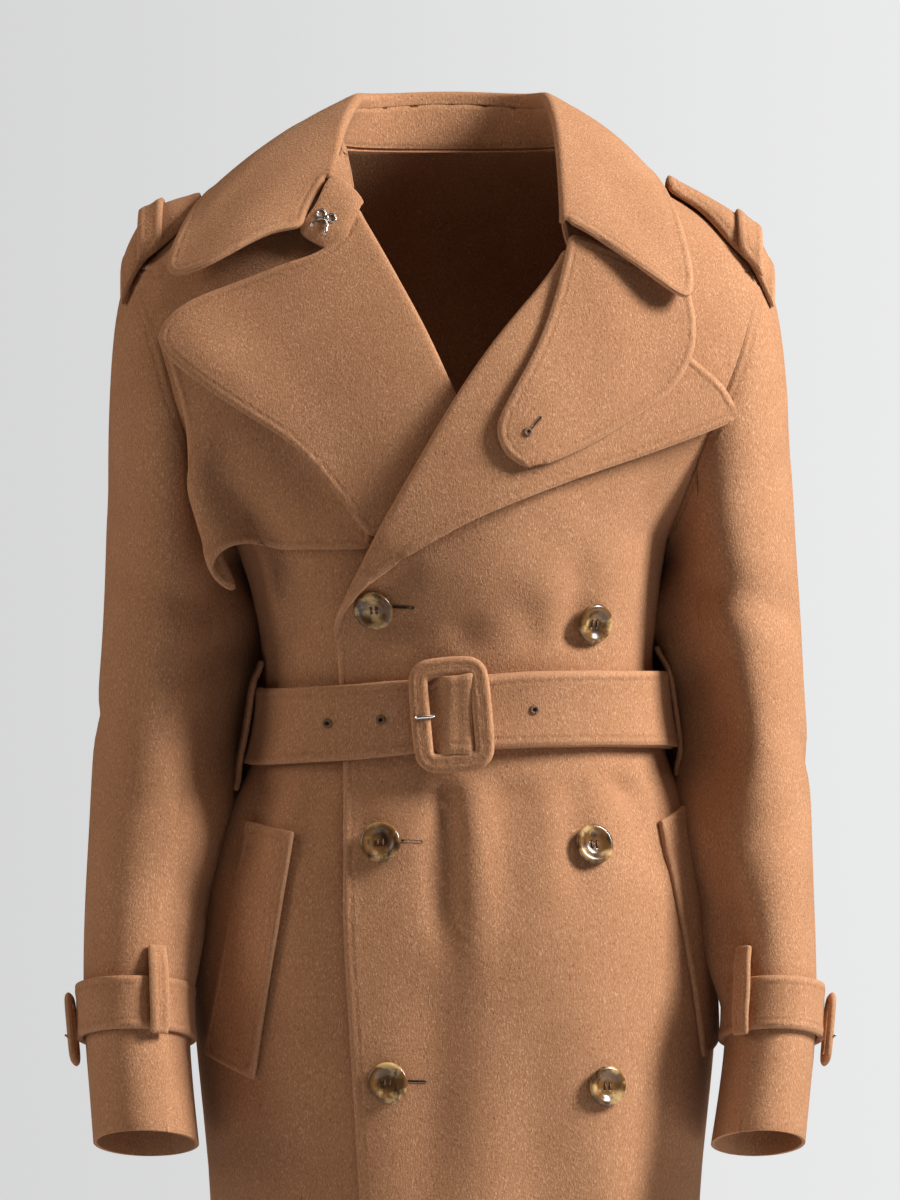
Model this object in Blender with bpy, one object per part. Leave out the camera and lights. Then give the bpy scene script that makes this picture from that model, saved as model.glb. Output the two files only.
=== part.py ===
"""Belted long coat in thick double-faced wool, held open as worn.

Metres, +Z up, the front faces -Y and the wearer's right side lies toward -X.
The origin is at the neck base, midway between the shoulders.
"""
import bisect
import math

import bmesh
import bpy
from mathutils import Vector

MM = 0.001
WALL = 2.4 * MM
SEAM = 0.3 * MM
STRAP_WALL = 3.6 * MM
BELT_WALL = 4.0 * MM

ARMPIT = -268.0 * MM
SHOULDER_POINT = -79.0 * MM
SECTION_POWER = 2.2
SIDE_GAP = math.radians(0.07)

ROLL_RADIUS = 3.3 * MM
LAP_LIFT = 4.2 * MM
STACK_LIFT = 8.8 * MM
FLAP_LIFT = 4.4 * MM

WOOL_COLOUR = (0.36, 0.19, 0.095, 1.0)
HORN_COLOUR = (0.20, 0.11, 0.05, 1.0)
METAL_COLOUR = (0.78, 0.78, 0.77, 1.0)


def table(heads, rows):
    """Named columns in metres from rows in millimetres."""
    names = heads.split()
    columns = {}
    for index, name in enumerate(names):
        columns[name] = [row[index] * MM for row in rows]
    return columns


# Body of the coat by height: reach to each side, depth to the front and to the back.
BODY = table("height right left front back", (
    (-1130, 180, 186, 156, 162),
    (-1000, 173, 179, 150, 155),
    (-850, 168, 174, 145, 147),
    (-732, 168, 175, 141, 141),
    (-662, 175, 183, 139, 137),
    (-595, 182, 189, 136, 132),
    (-536, 179, 187, 131, 126),
    (-497, 171, 181, 126, 118),
    (-458, 157, 170, 118, 107),
    (-430, 141, 155, 111, 97),
    (-393, 132, 146, 106, 90),
    (-355, 131, 143, 112, 98),
    (-312, 138, 147, 120, 109),
    (-268, 152, 153, 126, 118),
    (-246, 172, 168, 126, 121),
    (-228, 191, 186, 125, 122),
    (-200, 222, 216, 123, 123),
    (-170, 244, 240, 119, 121),
    (-144, 250, 247, 115, 118),
    (-112, 244, 242, 107, 110),
    (-79, 227, 222, 97, 100),
    (-45, 190, 187, 83, 86),
    (-22, 151, 149, 68, 71),
    (0, 111, 111, 51, 55),
    (14, 74, 74, 37, 41),
))

# Armhole seam by height: distance from the middle on each side.
ARMHOLE = table("height right left", (
    (-268, 152, 153),
    (-242, 168, 162),
    (-228, 174, 168),
    (-193, 185, 180),
    (-144, 199, 201),
    (-112, 210, 210),
    (-90, 220, 217),
    (-79, 227, 222),
))

# Long soft folds of the body: turn from the front in degrees, heights, depth and half width in degrees.
FOLDS = (
    {"turn": -3, "top": -0.425, "low": -0.90, "deep": 4.0 * MM, "half": 14},
    {"turn": 14, "top": -0.425, "low": -0.80, "deep": -3.0 * MM, "half": 14},
    {"turn": 60, "top": -0.42, "low": -0.58, "deep": 4.0 * MM, "half": 13},
    {"turn": -58, "top": -0.43, "low": -1.13, "deep": 4.0 * MM, "half": 13},
    {"turn": 36, "top": -0.70, "low": -1.30, "deep": 5.0 * MM, "half": 16},
    {"turn": -31, "top": -0.76, "low": -1.30, "deep": 5.0 * MM, "half": 16},
    {"turn": 128, "top": -0.46, "low": -1.30, "deep": 10.0 * MM, "half": 13},
    {"turn": 161, "top": -0.50, "low": -1.30, "deep": 8.0 * MM, "half": 12},
    {"turn": -160, "top": -0.46, "low": -1.30, "deep": 9.0 * MM, "half": 13},
    {"turn": -124, "top": -0.52, "low": -1.30, "deep": 9.0 * MM, "half": 12},
    {"turn": 33, "top": -0.27, "low": -0.37, "deep": 2.5 * MM, "half": 13},
    {"turn": 150, "top": -0.20, "low": -0.37, "deep": 4.0 * MM, "half": 14},
    {"turn": -146, "top": -0.22, "low": -0.37, "deep": 4.0 * MM, "half": 13},
)

HEM = (-1130, -1025, -920, -820, -730, -655, -595, -545, -500, -462, -434, -414)
WAIST = (-393, -374, -357)


def smooth(keys, values, at):
    """Value on a curve through the rows of a table that never swings past them."""
    if at <= keys[0]:
        return values[0]
    if at >= keys[-1]:
        return values[-1]
    place = bisect.bisect_right(keys, at) - 1
    slopes = []
    for index in (place, place + 1):
        if index == 0 or index == len(keys) - 1:
            low = min(index, len(keys) - 2)
            slopes.append((values[low + 1] - values[low]) / (keys[low + 1] - keys[low]))
            continue
        before = (values[index] - values[index - 1]) / (keys[index] - keys[index - 1])
        after = (values[index + 1] - values[index]) / (keys[index + 1] - keys[index])
        slopes.append(0.0 if before * after <= 0.0 else 2.0 * before * after / (before + after))
    span = keys[place + 1] - keys[place]
    part = (at - keys[place]) / span
    square = part * part
    cube = square * part
    value = (2 * cube - 3 * square + 1) * values[place]
    value += (cube - 2 * square + part) * span * slopes[0]
    value += (3 * square - 2 * cube) * values[place + 1]
    value += (cube - square) * span * slopes[1]
    return value


def ramp(value, low, high):
    """Soft step from 0 at low to 1 at high; the two may be in either order."""
    part = max(0.0, min(1.0, (value - low) / (high - low)))
    return part * part * (3.0 - 2.0 * part)


def spread(count):
    """Even fractions from 0 to 1."""
    return [index / (count - 1) for index in range(count)]


def power(value, exponent):
    """Signed power."""
    return math.copysign(abs(value) ** exponent, value)


def section(height):
    """Reach right, left, front and back of the body at a height."""
    return [smooth(BODY["height"], BODY[name], height) for name in ("right", "left", "front", "back")]


def bare_body(turn, height):
    """Point on the body; turn 0 is the front and +90 degrees the wearer's left side."""
    right, left, front, back = section(height)
    across = math.sin(turn)
    along = math.cos(turn)
    reach = left if across > 0 else right
    depth = front if along > 0 else back
    bulge = 2 / SECTION_POWER
    return Vector((reach * power(across, bulge), -depth * power(along, bulge), height))


def body_normal(turn, height):
    """Outward direction of the body."""
    step = 0.01
    around = bare_body(turn + step, height) - bare_body(turn - step, height)
    upward = bare_body(turn, height + 0.004) - bare_body(turn, height - 0.004)
    return around.cross(upward).normalized()


def fold_depth(turn, height):
    """How far the long folds push the cloth in at a place."""
    total = 0.0
    for fold in FOLDS:
        away = math.degrees(turn) - fold["turn"]
        away = (away + 180.0) % 360.0 - 180.0
        low = ramp(height, fold["low"] - 0.03, fold["low"] + 0.10)
        top = ramp(height, fold["top"], fold["top"] - 0.08)
        total += fold["deep"] * math.exp(-(away / fold["half"]) ** 2) * low * top
    return total


def body(turn, height, lift=0.0):
    """Point on the folded body, moved out by a lift."""
    point = bare_body(turn, height)
    return point + body_normal(turn, height) * (lift - fold_depth(turn, height))


def turn_at(across, height):
    """Turn of the body at a distance across the front."""
    right, left, front, back = section(height)
    reach = left if across > 0 else right
    part = min(abs(across) / reach, 0.985)
    return math.copysign(math.asin(part ** (SECTION_POWER / 2)), across)


def on_front(across, height, lift):
    """Point over the front at a place seen from the front, moved out by a lift."""
    turn = turn_at(across, height)
    point = bare_body(turn, height)
    slant = max(abs(body_normal(turn, height).y), 0.5)
    return Vector((across, point.y - (lift - fold_depth(turn, height)) / slant, height))


def armhole_height(angle):
    """Height on the armhole; angle 0 is the shoulder point and 180 degrees the armpit."""
    return SHOULDER_POINT + (ARMPIT - SHOULDER_POINT) * (1.0 - math.cos(angle)) / 2.0


def armhole_reach(side, height):
    """Distance of the armhole seam from the middle."""
    return smooth(ARMHOLE["height"], ARMHOLE["left" if side > 0 else "right"], height)


def edge_turn(side, height):
    """Turn at which a panel ends: side seam, armhole or shoulder seam."""
    if height <= ARMPIT or height >= SHOULDER_POINT:
        return math.pi / 2 - SIDE_GAP
    reach = section(height)[1 if side > 0 else 0]
    part = min(armhole_reach(side, height) / reach, 1.0)
    return min(math.asin(part ** (SECTION_POWER / 2)), math.pi / 2 - SIDE_GAP)


def material(name, colour, roughness, metallic=0.0):
    """Plain material of one sub-part."""
    made = bpy.data.materials.new(name)
    made.use_nodes = True
    shader = made.node_tree.nodes["Principled BSDF"]
    shader.inputs["Base Color"].default_value = colour
    shader.inputs["Roughness"].default_value = roughness
    shader.inputs["Metallic"].default_value = metallic
    made.diffuse_color = colour
    return made


def wool(name):
    """Wool of one piece."""
    return material(name + "_wool", WOOL_COLOUR, 0.9)


def finish(name, bm, made):
    """Named smooth object from a bmesh."""
    mesh = bpy.data.meshes.new(name)
    bm.to_mesh(mesh)
    bm.free()
    mesh.polygons.foreach_set("use_smooth", [True] * len(mesh.polygons))
    mesh.materials.append(made)
    piece = bpy.data.objects.new(name, mesh)
    bpy.context.scene.collection.objects.link(piece)
    return piece


def sheet(name, grids, wall=WALL, closed=False):
    """Cloth piece from one or more grids of points that share edges, given its wall."""
    bm = bmesh.new()
    for rows in grids:
        lines = [[bm.verts.new(point) for point in row] for row in rows]
        count = len(lines)
        for index in range(count if closed else count - 1):
            here = lines[index]
            there = lines[(index + 1) % count]
            for place in range(len(here) - 1):
                bm.faces.new((here[place], here[place + 1], there[place + 1], there[place]))
    bmesh.ops.remove_doubles(bm, verts=bm.verts, dist=0.00002)
    bmesh.ops.recalc_face_normals(bm, faces=bm.faces)
    piece = finish(name, bm, wool(name))
    solid = piece.modifiers.new("wall", "SOLIDIFY")
    solid.thickness = wall
    solid.offset = 0.0
    solid.use_even_offset = False
    solid.use_rim = True
    return piece


# Lapels by station up the roll line: where the roll and the outer edge lie, seen from the front.
LAPEL_LEFT = table("roll_z roll_x edge_x edge_z", (
    (-343.0, -77.0, -74.9, -347.0),
    (-318.5, -73.5, -69.5, -314.0),
    (-290.5, -63.0, -46.0, -293.5),
    (-262.5, -49.0, -33.0, -283.5),
    (-238.0, -35.0, -5.0, -267.4),
    (-213.5, -21.0, 23.0, -252.0),
    (-189.0, -7.0, 51.0, -241.5),
    (-168.0, 5.6, 79.0, -231.0),
    (-144.9, 21.0, 107.0, -219.1),
    (-126.0, 35.0, 134.0, -211.4),
    (-109.9, 49.0, 162.0, -199.5),
    (-93.1, 63.0, 186.0, -192.0),
    (-70.0, 78.4, 199.5, -183.4),
))
LAPEL_LEFT_TOP = table("across height", (
    (78.4, -70.0), (105.0, -94.5), (133.0, -116.9), (164.5, -144.9), (185.5, -158.9), (196.0, -170.0),
    (199.5, -183.4),
))
LAPEL_RIGHT = table("roll_z roll_x edge_x edge_z", (
    (-234.5, 38.5, -54.6, -269.5),
    (-203.0, 21.0, -77.0, -238.0),
    (-169.4, 3.5, -98.0, -210.0),
    (-142.1, -7.0, -119.0, -193.9),
    (-115.5, -21.0, -147.0, -178.5),
    (-89.6, -35.0, -175.0, -157.5),
    (-58.1, -52.5, -197.4, -139.9),
    (-40.0, -63.0, -203.0, -128.1),
))
LAPEL_RIGHT_TOP = table("across height", (
    (-63.0, -40.0), (-75.5, -70.0), (-105.0, -77.0), (-133.0, -87.5), (-161.0, -98.0), (-178.5, -103.6),
    (-189.0, -109.9), (-199.5, -119.0), (-203.0, -128.1),
))

# Free edges and neck seams of the fronts by height.
EDGE_LEFT = table("height across", (
    (-1130, -45), (-890, -53), (-732, -61.6), (-662, -65.8), (-592, -69.3), (-522, -73.5), (-425, -72.8),
    (-368, -75.6), (-343, -77), (-70, 78.4), (-40, 77.5), (-20, 76.5), (0, 75.5), (10, 74),
))
EDGE_RIGHT = table("height across", (
    (-1130, 100), (-330, 100), (-300, 86), (-268, 62), (-246, 46), (-234.5, 38.5), (-40, -63), (-25, -67),
    (-10, -70), (2, -72.5), (10, -74),
))

HALF_TURN = math.pi
ARC_STEPS = 4
FRONT_COLUMNS = 12
LAPEL_COLUMNS = 9
LAPEL_STAND_RIGHT = 13.0 * MM
LAPEL_STAND_LEFT = 3.4 * MM
ARMHOLE_STEPS = (160, 140, 120, 100, 80, 60, 40, 20)


def armhole_rows():
    """Heights of the rows that end on the armhole, from the armpit to the shoulder point."""
    return [ARMPIT] + [armhole_height(math.radians(step)) for step in ARMHOLE_STEPS] + [SHOULDER_POINT]


def rows_with(extra):
    """Row heights of a front from hem to neck, with its own extra rows in millimetres."""
    heights = [value * MM for value in HEM + WAIST + extra] + armhole_rows()
    return sorted(heights)


def no_lift(across, height):
    """The lower front lies on the body itself."""
    return 0.0


def lap_lift(across, height):
    """How far the upper front stands out to clear the lower front and its lapel."""
    lap = LAP_LIFT * ramp(across, 0.140, 0.108)
    beside = ramp(across, 0.110, 0.045)
    level = ramp(height, -0.338, -0.288) * ramp(height, -0.085, -0.160)
    return lap + STACK_LIFT * beside * level


def along(points, part):
    """Place at a fraction of the length of a line of points."""
    lengths = [(after - before).length for before, after in zip(points, points[1:])]
    left = part * sum(lengths)
    for before, after, length in zip(points, points[1:], lengths):
        if left <= length:
            return before.lerp(after, left / length)
        left -= length
    return points[-1].copy()


def over_front(turn, height, lift):
    """Point of a panel at a turn, moved straight forward by a lift."""
    slant = max(abs(body_normal(turn, height).y), 0.5)
    return body(turn, height) + Vector((0.0, -lift / slant, 0.0))


def front(name, side, extra, edge, lapel, top, lift, turned, stand):
    """A front cut in one with its lapel, which turns back along the roll line."""
    low = lapel["roll_z"][0]
    high = lapel["roll_z"][-1]
    ends = [Vector((x, z)) for x, z in zip(top["across"], top["height"])]
    panel_rows = []
    lapel_rows = []
    for height in rows_with(extra):
        rolled = low - 0.0001 <= height <= high + 0.0001
        part = (height - low) / (high - low)
        bend = turned(part) if rolled else 0.0
        across = smooth(edge["height"], edge["across"], height)
        if rolled:
            across = smooth(lapel["roll_z"], lapel["roll_x"], height)
        inset = (ROLL_RADIUS + WALL / 2.0) * (1.0 - math.cos(bend)) / 2.0
        shift = side * inset
        first = turn_at(across + shift, height)
        last = side * edge_turn(side, height)
        row = []
        for share in spread(FRONT_COLUMNS):
            turn = first + (last - first) * share
            place = bare_body(turn, height).x
            row.append(over_front(turn, height, lift(place, height)))
        panel_rows.append(row)
        if not rolled:
            continue
        ground = lift(across, height)
        line = [row[0]]
        for step in range(1, ARC_STEPS + 1):
            angle = bend * step / ARC_STEPS
            place = across + side * (inset - ROLL_RADIUS * math.sin(angle))
            line.append(on_front(place, height, ground + ROLL_RADIUS * (1.0 - math.cos(angle))))
        start = Vector((across + side * (inset - ROLL_RADIUS * math.sin(bend)), height))
        edge_x = smooth(lapel["roll_z"], lapel["edge_x"], height)
        edge_z = smooth(lapel["roll_z"], lapel["edge_z"], height)
        end = Vector((edge_x, edge_z))
        chord = end - start
        bow = max(0.0, (part - 0.45) / 0.55) ** 2
        for share in spread(LAPEL_COLUMNS)[1:]:
            flat = start + chord * share
            flat += (along(ends, share) - ends[0].lerp(ends[-1], share)) * bow
            reach = chord.length * share
            tip = stand * ramp(share, 0.55, 1.0) * ramp(part, 0.3, 0.95)
            up = ROLL_RADIUS * (1.0 - math.cos(bend)) + reach * math.sin(bend) * 0.9
            seen = start + (flat - start) * (-math.cos(bend))
            full = max(0.0, -math.cos(bend))
            line.append(on_front(seen.x, seen.y, lift(seen.x, seen.y) + up + tip * full))
        if bend < 0.01:
            line = [row[0]] * len(line)
        lapel_rows.append(line)
    return sheet(name, [panel_rows, lapel_rows])


def turned_left(part):
    """The upper lapel opens gradually over the lowest part of its roll."""
    return HALF_TURN * ramp(part, 0.0, 0.20)


def turned_right(part):
    """The lower lapel is fully turned along its whole roll."""
    return HALF_TURN


def build_fronts():
    """Both fronts with their lapels."""
    front("front_right", -1, (-330, -300, -234.5, -60, -40, -25, -10, 2, 10), EDGE_RIGHT, LAPEL_RIGHT,
          LAPEL_RIGHT_TOP, no_lift, turned_right, LAPEL_STAND_RIGHT)
    front("front_left", 1, (-343, -331, -318.5, -305, -290.5, -70, -55, -40, -20, 0, 10), EDGE_LEFT,
          LAPEL_LEFT, LAPEL_LEFT_TOP, lap_lift, turned_left, LAPEL_STAND_LEFT)


BACK_COLUMNS = 16


def build_back():
    """The back from side seam to side seam, with the back armholes and the shoulder seams."""
    rows = []
    for height in rows_with((-330, -300, -55, -35, -18, 0, 10)):
        first = math.pi - edge_turn(1, height)
        last = math.pi + edge_turn(-1, height)
        rows.append([body(first + (last - first) * share, height) for share in spread(BACK_COLUMNS)])
    return sheet("back", [rows])


# Sleeves by height: inner and outer reach, front and back reach, how far back the innermost
# line sits, and slope of the ring (in thousandths).
SLEEVE_RIGHT = table("height inner outer front back set tilt tuck", (
    (-689, 175, 247, -138, -22, 0, 250, 0),
    (-662, 178, 249, -131, -15, 0, 240, 0),
    (-634, 182, 253, -123, -7, 0, 220, 0),
    (-578, 184, 256, -112, 6, 0, 180, 0),
    (-536, 181, 256, -104, 18, 0, 150, 0),
    (-497, 174, 254, -96, 30, -10, 110, 0),
    (-458, 163, 253, -89, 43, -20, 70, 0),
    (-430, 159, 252, -84, 50, 44, 40, 10),
    (-396, 155, 250, -79, 58, 63, 20, 14),
    (-362, 143, 247, -77, 63, 66, 0, 12),
    (-330, 138, 245, -76, 65, 66, 0, 5),
))
SLEEVE_LEFT = table("height inner outer front back set tilt tuck", (
    (-689, 182, 246, -138, -22, 0, 250, 0),
    (-662, 187, 249, -131, -15, 0, 240, 0),
    (-592, 195, 256, -115, 3, 0, 190, 0),
    (-536, 191, 255, -104, 18, 0, 150, 0),
    (-497, 184, 254, -96, 30, -10, 110, 0),
    (-458, 174, 254, -89, 43, -20, 70, 0),
    (-430, 174, 253, -84, 50, 46, 40, 8),
    (-396, 175, 251, -79, 58, 64, 20, 15),
    (-362, 159, 249, -77, 63, 68, 0, 12),
    (-330, 148, 248, -76, 65, 66, 0, 5),
))
SLEEVE_HEAD = ((0.0, 0.0), (0.10, 5.2), (0.22, 6.6), (0.36, 6.2), (0.52, 4.6), (0.70, 2.4), (0.86, 0.8))
SLEEVE_RINGS = (-330, -365, -400, -435, -475, -520, -565, -610, -652, -689)
SLEEVE_SEAM = 118.0
SLEEVE_GAP = 0.5
SLEEVE_BACK_GAP = 1.4
ARMPIT_IN = 2.5 * MM
ARMPIT_BACK = 14.0 * MM


def armhole_point(side, angle):
    """Point on the armhole; the front half runs from 0 to 180 degrees."""
    wrapped = angle % (2.0 * math.pi)
    height = armhole_height(wrapped)
    turn = edge_turn(side, height)
    if wrapped > math.pi:
        turn = math.pi - turn
    return bare_body(side * turn, height)


def sleeve_ring(side, arm, height, angle, out=0.0):
    """Point on a sleeve ring; angle 0 is the outer side and 90 degrees the front."""
    names = ("inner", "outer", "front", "back", "set", "tilt", "tuck")
    inner, outer, front_reach, back_reach, behind, tilt, tuck = [
        smooth(arm["height"], arm[name], height) for name in names]
    middle = (inner + outer) / 2.0
    centre = (front_reach + back_reach) / 2.0
    half = (outer - inner) / 2.0 + out
    depth = (back_reach - front_reach) / 2.0 + out
    inward = max(0.0, -math.cos(angle))
    across = middle + half * math.cos(angle) - tuck * inward ** 8
    along_y = centre - depth * math.sin(angle) + behind * inward ** 1.6
    return Vector((side * across, along_y, height + tilt / MM * 0.001 * (centre - along_y)))


def sleeve_point(side, arm, angle, share, swell):
    """Point on the sleeve head between the armhole and the first full ring."""
    away = (1.9 + 1.7 * (1.0 - math.cos(angle)) / 2.0) * MM
    start = armhole_point(side, angle) + Vector((side * away, 0.0, 0.0))
    end = sleeve_ring(side, arm, SLEEVE_RINGS[0] * MM, angle)
    near = max(0.0, math.cos(angle * 0.5) ** 2)
    push = Vector((side * math.cos(angle), -math.sin(angle), 0.0)) * (swell * MM * near)
    hollow = math.sin(math.pi * share) * max(0.0, -math.cos(angle)) ** 4
    behind = Vector((-side * ARMPIT_IN, ARMPIT_BACK, 0.0)) * hollow
    return start.lerp(end, share) + push + behind


def sleeve_half(name, side, arm, first, last, steps):
    """One of the two long pieces of a sleeve."""
    angles = [math.radians(first + (last - first) * share) for share in spread(steps + 1)]
    rows = []
    for share, swell in SLEEVE_HEAD:
        rows.append([sleeve_point(side, arm, angle, share, swell) for angle in angles])
    for height in SLEEVE_RINGS:
        rows.append([sleeve_ring(side, arm, height * MM, angle) for angle in angles])
    return sheet(name, [rows])


def build_sleeves():
    """Top and under sleeve on each side, joined at a front and a back seam."""
    for word, side, arm in (("right", -1, SLEEVE_RIGHT), ("left", 1, SLEEVE_LEFT)):
        front_seam = SLEEVE_SEAM
        back_seam = 360 - SLEEVE_SEAM - SLEEVE_BACK_GAP
        rear_start = SLEEVE_BACK_GAP - front_seam
        sleeve_half("sleeve_%s_top" % word, side, arm, rear_start, front_seam - SLEEVE_GAP, 14)
        sleeve_half("sleeve_%s_under" % word, side, arm, front_seam + SLEEVE_GAP, back_seam, 7)


# Collar by station from the wearer's right front round the back to the left front:
# neck seam, fold line and outer edge.
COLLAR = table("seam_x seam_y seam_z fold_x fold_y fold_z edge_x edge_y edge_z", (
    (-67.5, -73, -25, -85.4, -70, -17.5, -103.6, -91, -53.9),
    (-70.5, -60, -12, -83.0, -63, -9.0, -122.5, -93, -54.6),
    (-73, -47, 2, -80.5, -54, 0.0, -147.0, -100, -67.9),
    (-75.5, -31.5, 11.5, -77.5, -40, 14.0, -171.5, -101, -82.0),
    (-78, -19, 11.7, -73.5, -26, 28.0, -194.0, -91, -88.0),
    (-81, -9, 11.7, -68.5, -12, 38.0, -196.5, -80, -78.0),
    (-82.5, -2, 11.7, -65.0, -3, 44.0, -190.0, -66, -58.0),
    (-83, 5, 11.7, -64.0, 6, 46.5, -179.0, -38, -35.0),
    (-81, 11.7, 14, -62.0, 16, 47.5, -169.0, -6, -20.0),
    (-73, 25, 11.7, -57.0, 28, 48.5, -152.0, 35, -18.0),
    (-55, 36, 11.7, -46.0, 41, 50.0, -118.0, 70, -28.0),
    (-28, 44, 11.7, -26.0, 51, 52.0, -64.0, 93, -40.0),
    (0, 46, 11.7, 0.0, 54, 53.0, 0.0, 99, -43.0),
    (28, 44, 11.7, 26.0, 51, 52.0, 64.0, 91, -38.0),
    (55, 36, 11.7, 46.0, 41, 50.0, 112.0, 64, -20.0),
    (73, 25, 11.7, 57.0, 28, 48.5, 133.0, 30, -8.0),
    (82, 12, 11.7, 64.0, 11.7, 48.0, 143.0, 0, -7.0),
    (83, 0, 11.7, 67.0, 2, 47.0, 151.0, -30, -23.0),
    (81, -10, 11.7, 69.5, -10, 42.0, 159.0, -64, -45.0),
    (79, -20, 11.7, 72.0, -24, 33.0, 165.0, -82, -68.0),
    (77.5, -31.5, 11.9, 74.3, -38, 22.0, 168.5, -100, -92.0),
    (76, -44, 7, 75.8, -53, 10.0, 165.5, -109, -105.0),
    (76.2, -58.4, -8, 77.2, -73, -10.0, 150.5, -113, -96.6),
    (76.8, -75.3, -28, 77.8, -92, -31.5, 128.0, -111, -79.0),
    (77.3, -87.7, -46, 78.4, -105, -50.0, 108.0, -107, -66.5),
))
# The end of the stand that shows beyond the collar on the wearer's right: fold side and outer edge.
STAND_END = table("fold_x fold_y fold_z edge_x edge_y edge_z", (
    (-64.0, -86.5, -38.0, -77.0, -101, -69.0),
    (-74.0, -80.5, -27.3, -89.0, -97, -62.0),
    (-82.8, -76.5, -20.2, -102.6, -93.0, -54.8),
))
FOLD_RADIUS = 3.4 * MM
LEAF_COLUMNS = 7
LEAF_SWELL = 5.0 * MM


def station(rows, index, words=("seam", "fold", "edge")):
    """Named points of a collar station."""
    points = []
    for word in words:
        points.append(Vector([rows[word + axis][index] for axis in ("_x", "_y", "_z")]))
    return points


def square_to(way, line):
    """Direction of a way, made square to a line."""
    return (way - line * way.dot(line)).normalized()


def collar_row(seam, fold, edge, swell, along_fold):
    """Line of points over the fold from where the stand ends to the outer edge."""
    down = square_to(seam - fold, along_fold)
    out = square_to(edge - fold, along_fold)
    middle = (down + out).normalized()
    aside = (out - down).normalized()
    centre = fold + middle * FOLD_RADIUS
    reach = math.pi / 2.0 - down.angle(out) / 2.0
    arc = []
    for part in (-1.0, -0.5, 0.0, 0.5, 1.0):
        angle = reach * part
        turned = aside * math.sin(angle) - middle * math.cos(angle)
        arc.append(centre + turned * FOLD_RADIUS)
    line = [arc[0].lerp(seam, 0.15)] + arc
    start = line[-1]
    for share in spread(LEAF_COLUMNS)[1:]:
        line.append(start.lerp(edge, share) + aside * (swell * math.sin(math.pi * share)))
    return line


def stand_row(seam, first):
    """Line of points up the stand, ending a seam's width below the collar leaf."""
    top = first + (seam - first).normalized() * SEAM * 6.0
    return [seam.lerp(top, share) for share in spread(4)]


def build_collar():
    """Stand and turned-down leaf of the collar."""
    leaf = []
    band = []
    tab = []
    count = len(COLLAR["seam_x"])
    for index in range(len(STAND_END["fold_x"])):
        fold, edge = station(STAND_END, index, ("fold", "edge"))
        tuck = fold + Vector((2.0 * MM, 2.5 * MM, 0.5 * MM))
        tab.append([tuck] + [fold.lerp(edge, share) for share in spread(5)])
    for index in range(count):
        seam, fold, edge = station(COLLAR, index)
        ease = ramp(index, 0, 4) * ramp(index, count - 1, count - 5)
        before = station(COLLAR, max(index - 1, 0))[1]
        after = station(COLLAR, min(index + 1, count - 1))[1]
        line = collar_row(seam, fold, edge, 1.5 * MM + LEAF_SWELL * ease, (after - before).normalized())
        leaf.append(line)
        band.append(stand_row(seam, line[0]))
    sheet("collar_leaf", [leaf])
    sheet("collar_stand", [band])
    sheet("collar_stand_end", [tab])


THROAT = table("left_x left_z right_x right_z", (
    (82.5, -58.0, 160.0, -88.0),
    (81.0, -70.0, 168.5, -104.0),
    (73.5, -101.5, 170.1, -129.5),
    (63.0, -133.0, 166.6, -144.9),
    (49.0, -158.9, 155.4, -164.5),
    (35.0, -184.1, 143.5, -174.3),
    (32.2, -193.9, 119.0, -191.1),
    (34.3, -205.8, 98.0, -203.7),
    (42.0, -215.6, 77.0, -213.5),
    (53.9, -221.2, 66.5, -217.7),
))
STORM = table("height inner outer", (
    (-276, -52, -163), (-262, -54, -168), (-246, -56, -171), (-224, -62, -173), (-193, -76, -180),
    (-165, -92, -188), (-144, -104, -195), (-122, -118, -200),
))
STORM_LIFT = 3.3 * MM
# Lower edge of the storm flap where it leaves the chest and curls in front of the armpit.
STORM_CURL = table("share x y z", (
    (660, -127, -83, -270), (740, -143, -92, -271), (810, -156, -95, -275), (870, -164, -93, -282.5),
    (920, -166, -88, -291), (960, -160, -80, -300), (1000, -147, -72, -308),
))
STORM_RULED = -193.0 * MM
STORM_BELLY = 8.0 * MM
STORM_COLUMNS = (0.0, 0.12, 0.25, 0.38, 0.5, 0.6, 0.68, 0.75, 0.81, 0.87, 0.92, 0.96, 1.0)


def storm_point(across, height, share):
    """Point of the storm flap: on the chest, or on the sheet that runs down to the curled edge."""
    chest = on_front(across, height, STORM_LIFT)
    curl = ramp(share, 0.60, 0.74) * ramp(height, STORM_RULED, STORM_RULED - 1.0 * MM)
    if curl == 0.0:
        return chest
    foot = Vector([smooth(STORM_CURL["share"], STORM_CURL[name], share) for name in ("x", "y", "z")])
    top_inner = smooth(list(reversed(STORM["height"])), list(reversed(STORM["inner"])), STORM_RULED)
    top_outer = smooth(list(reversed(STORM["height"])), list(reversed(STORM["outer"])), STORM_RULED)
    head = on_front(top_inner + (top_outer - top_inner) * share, STORM_RULED, STORM_LIFT)
    fall = (STORM_RULED - height) / (STORM_RULED - STORM["height"][0])
    sheet_point = head.lerp(foot, fall)
    sheet_point.y -= STORM_BELLY * math.sin(math.pi * fall) * ramp(share, 0.66, 0.9)
    return chest.lerp(sheet_point, curl)


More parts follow.
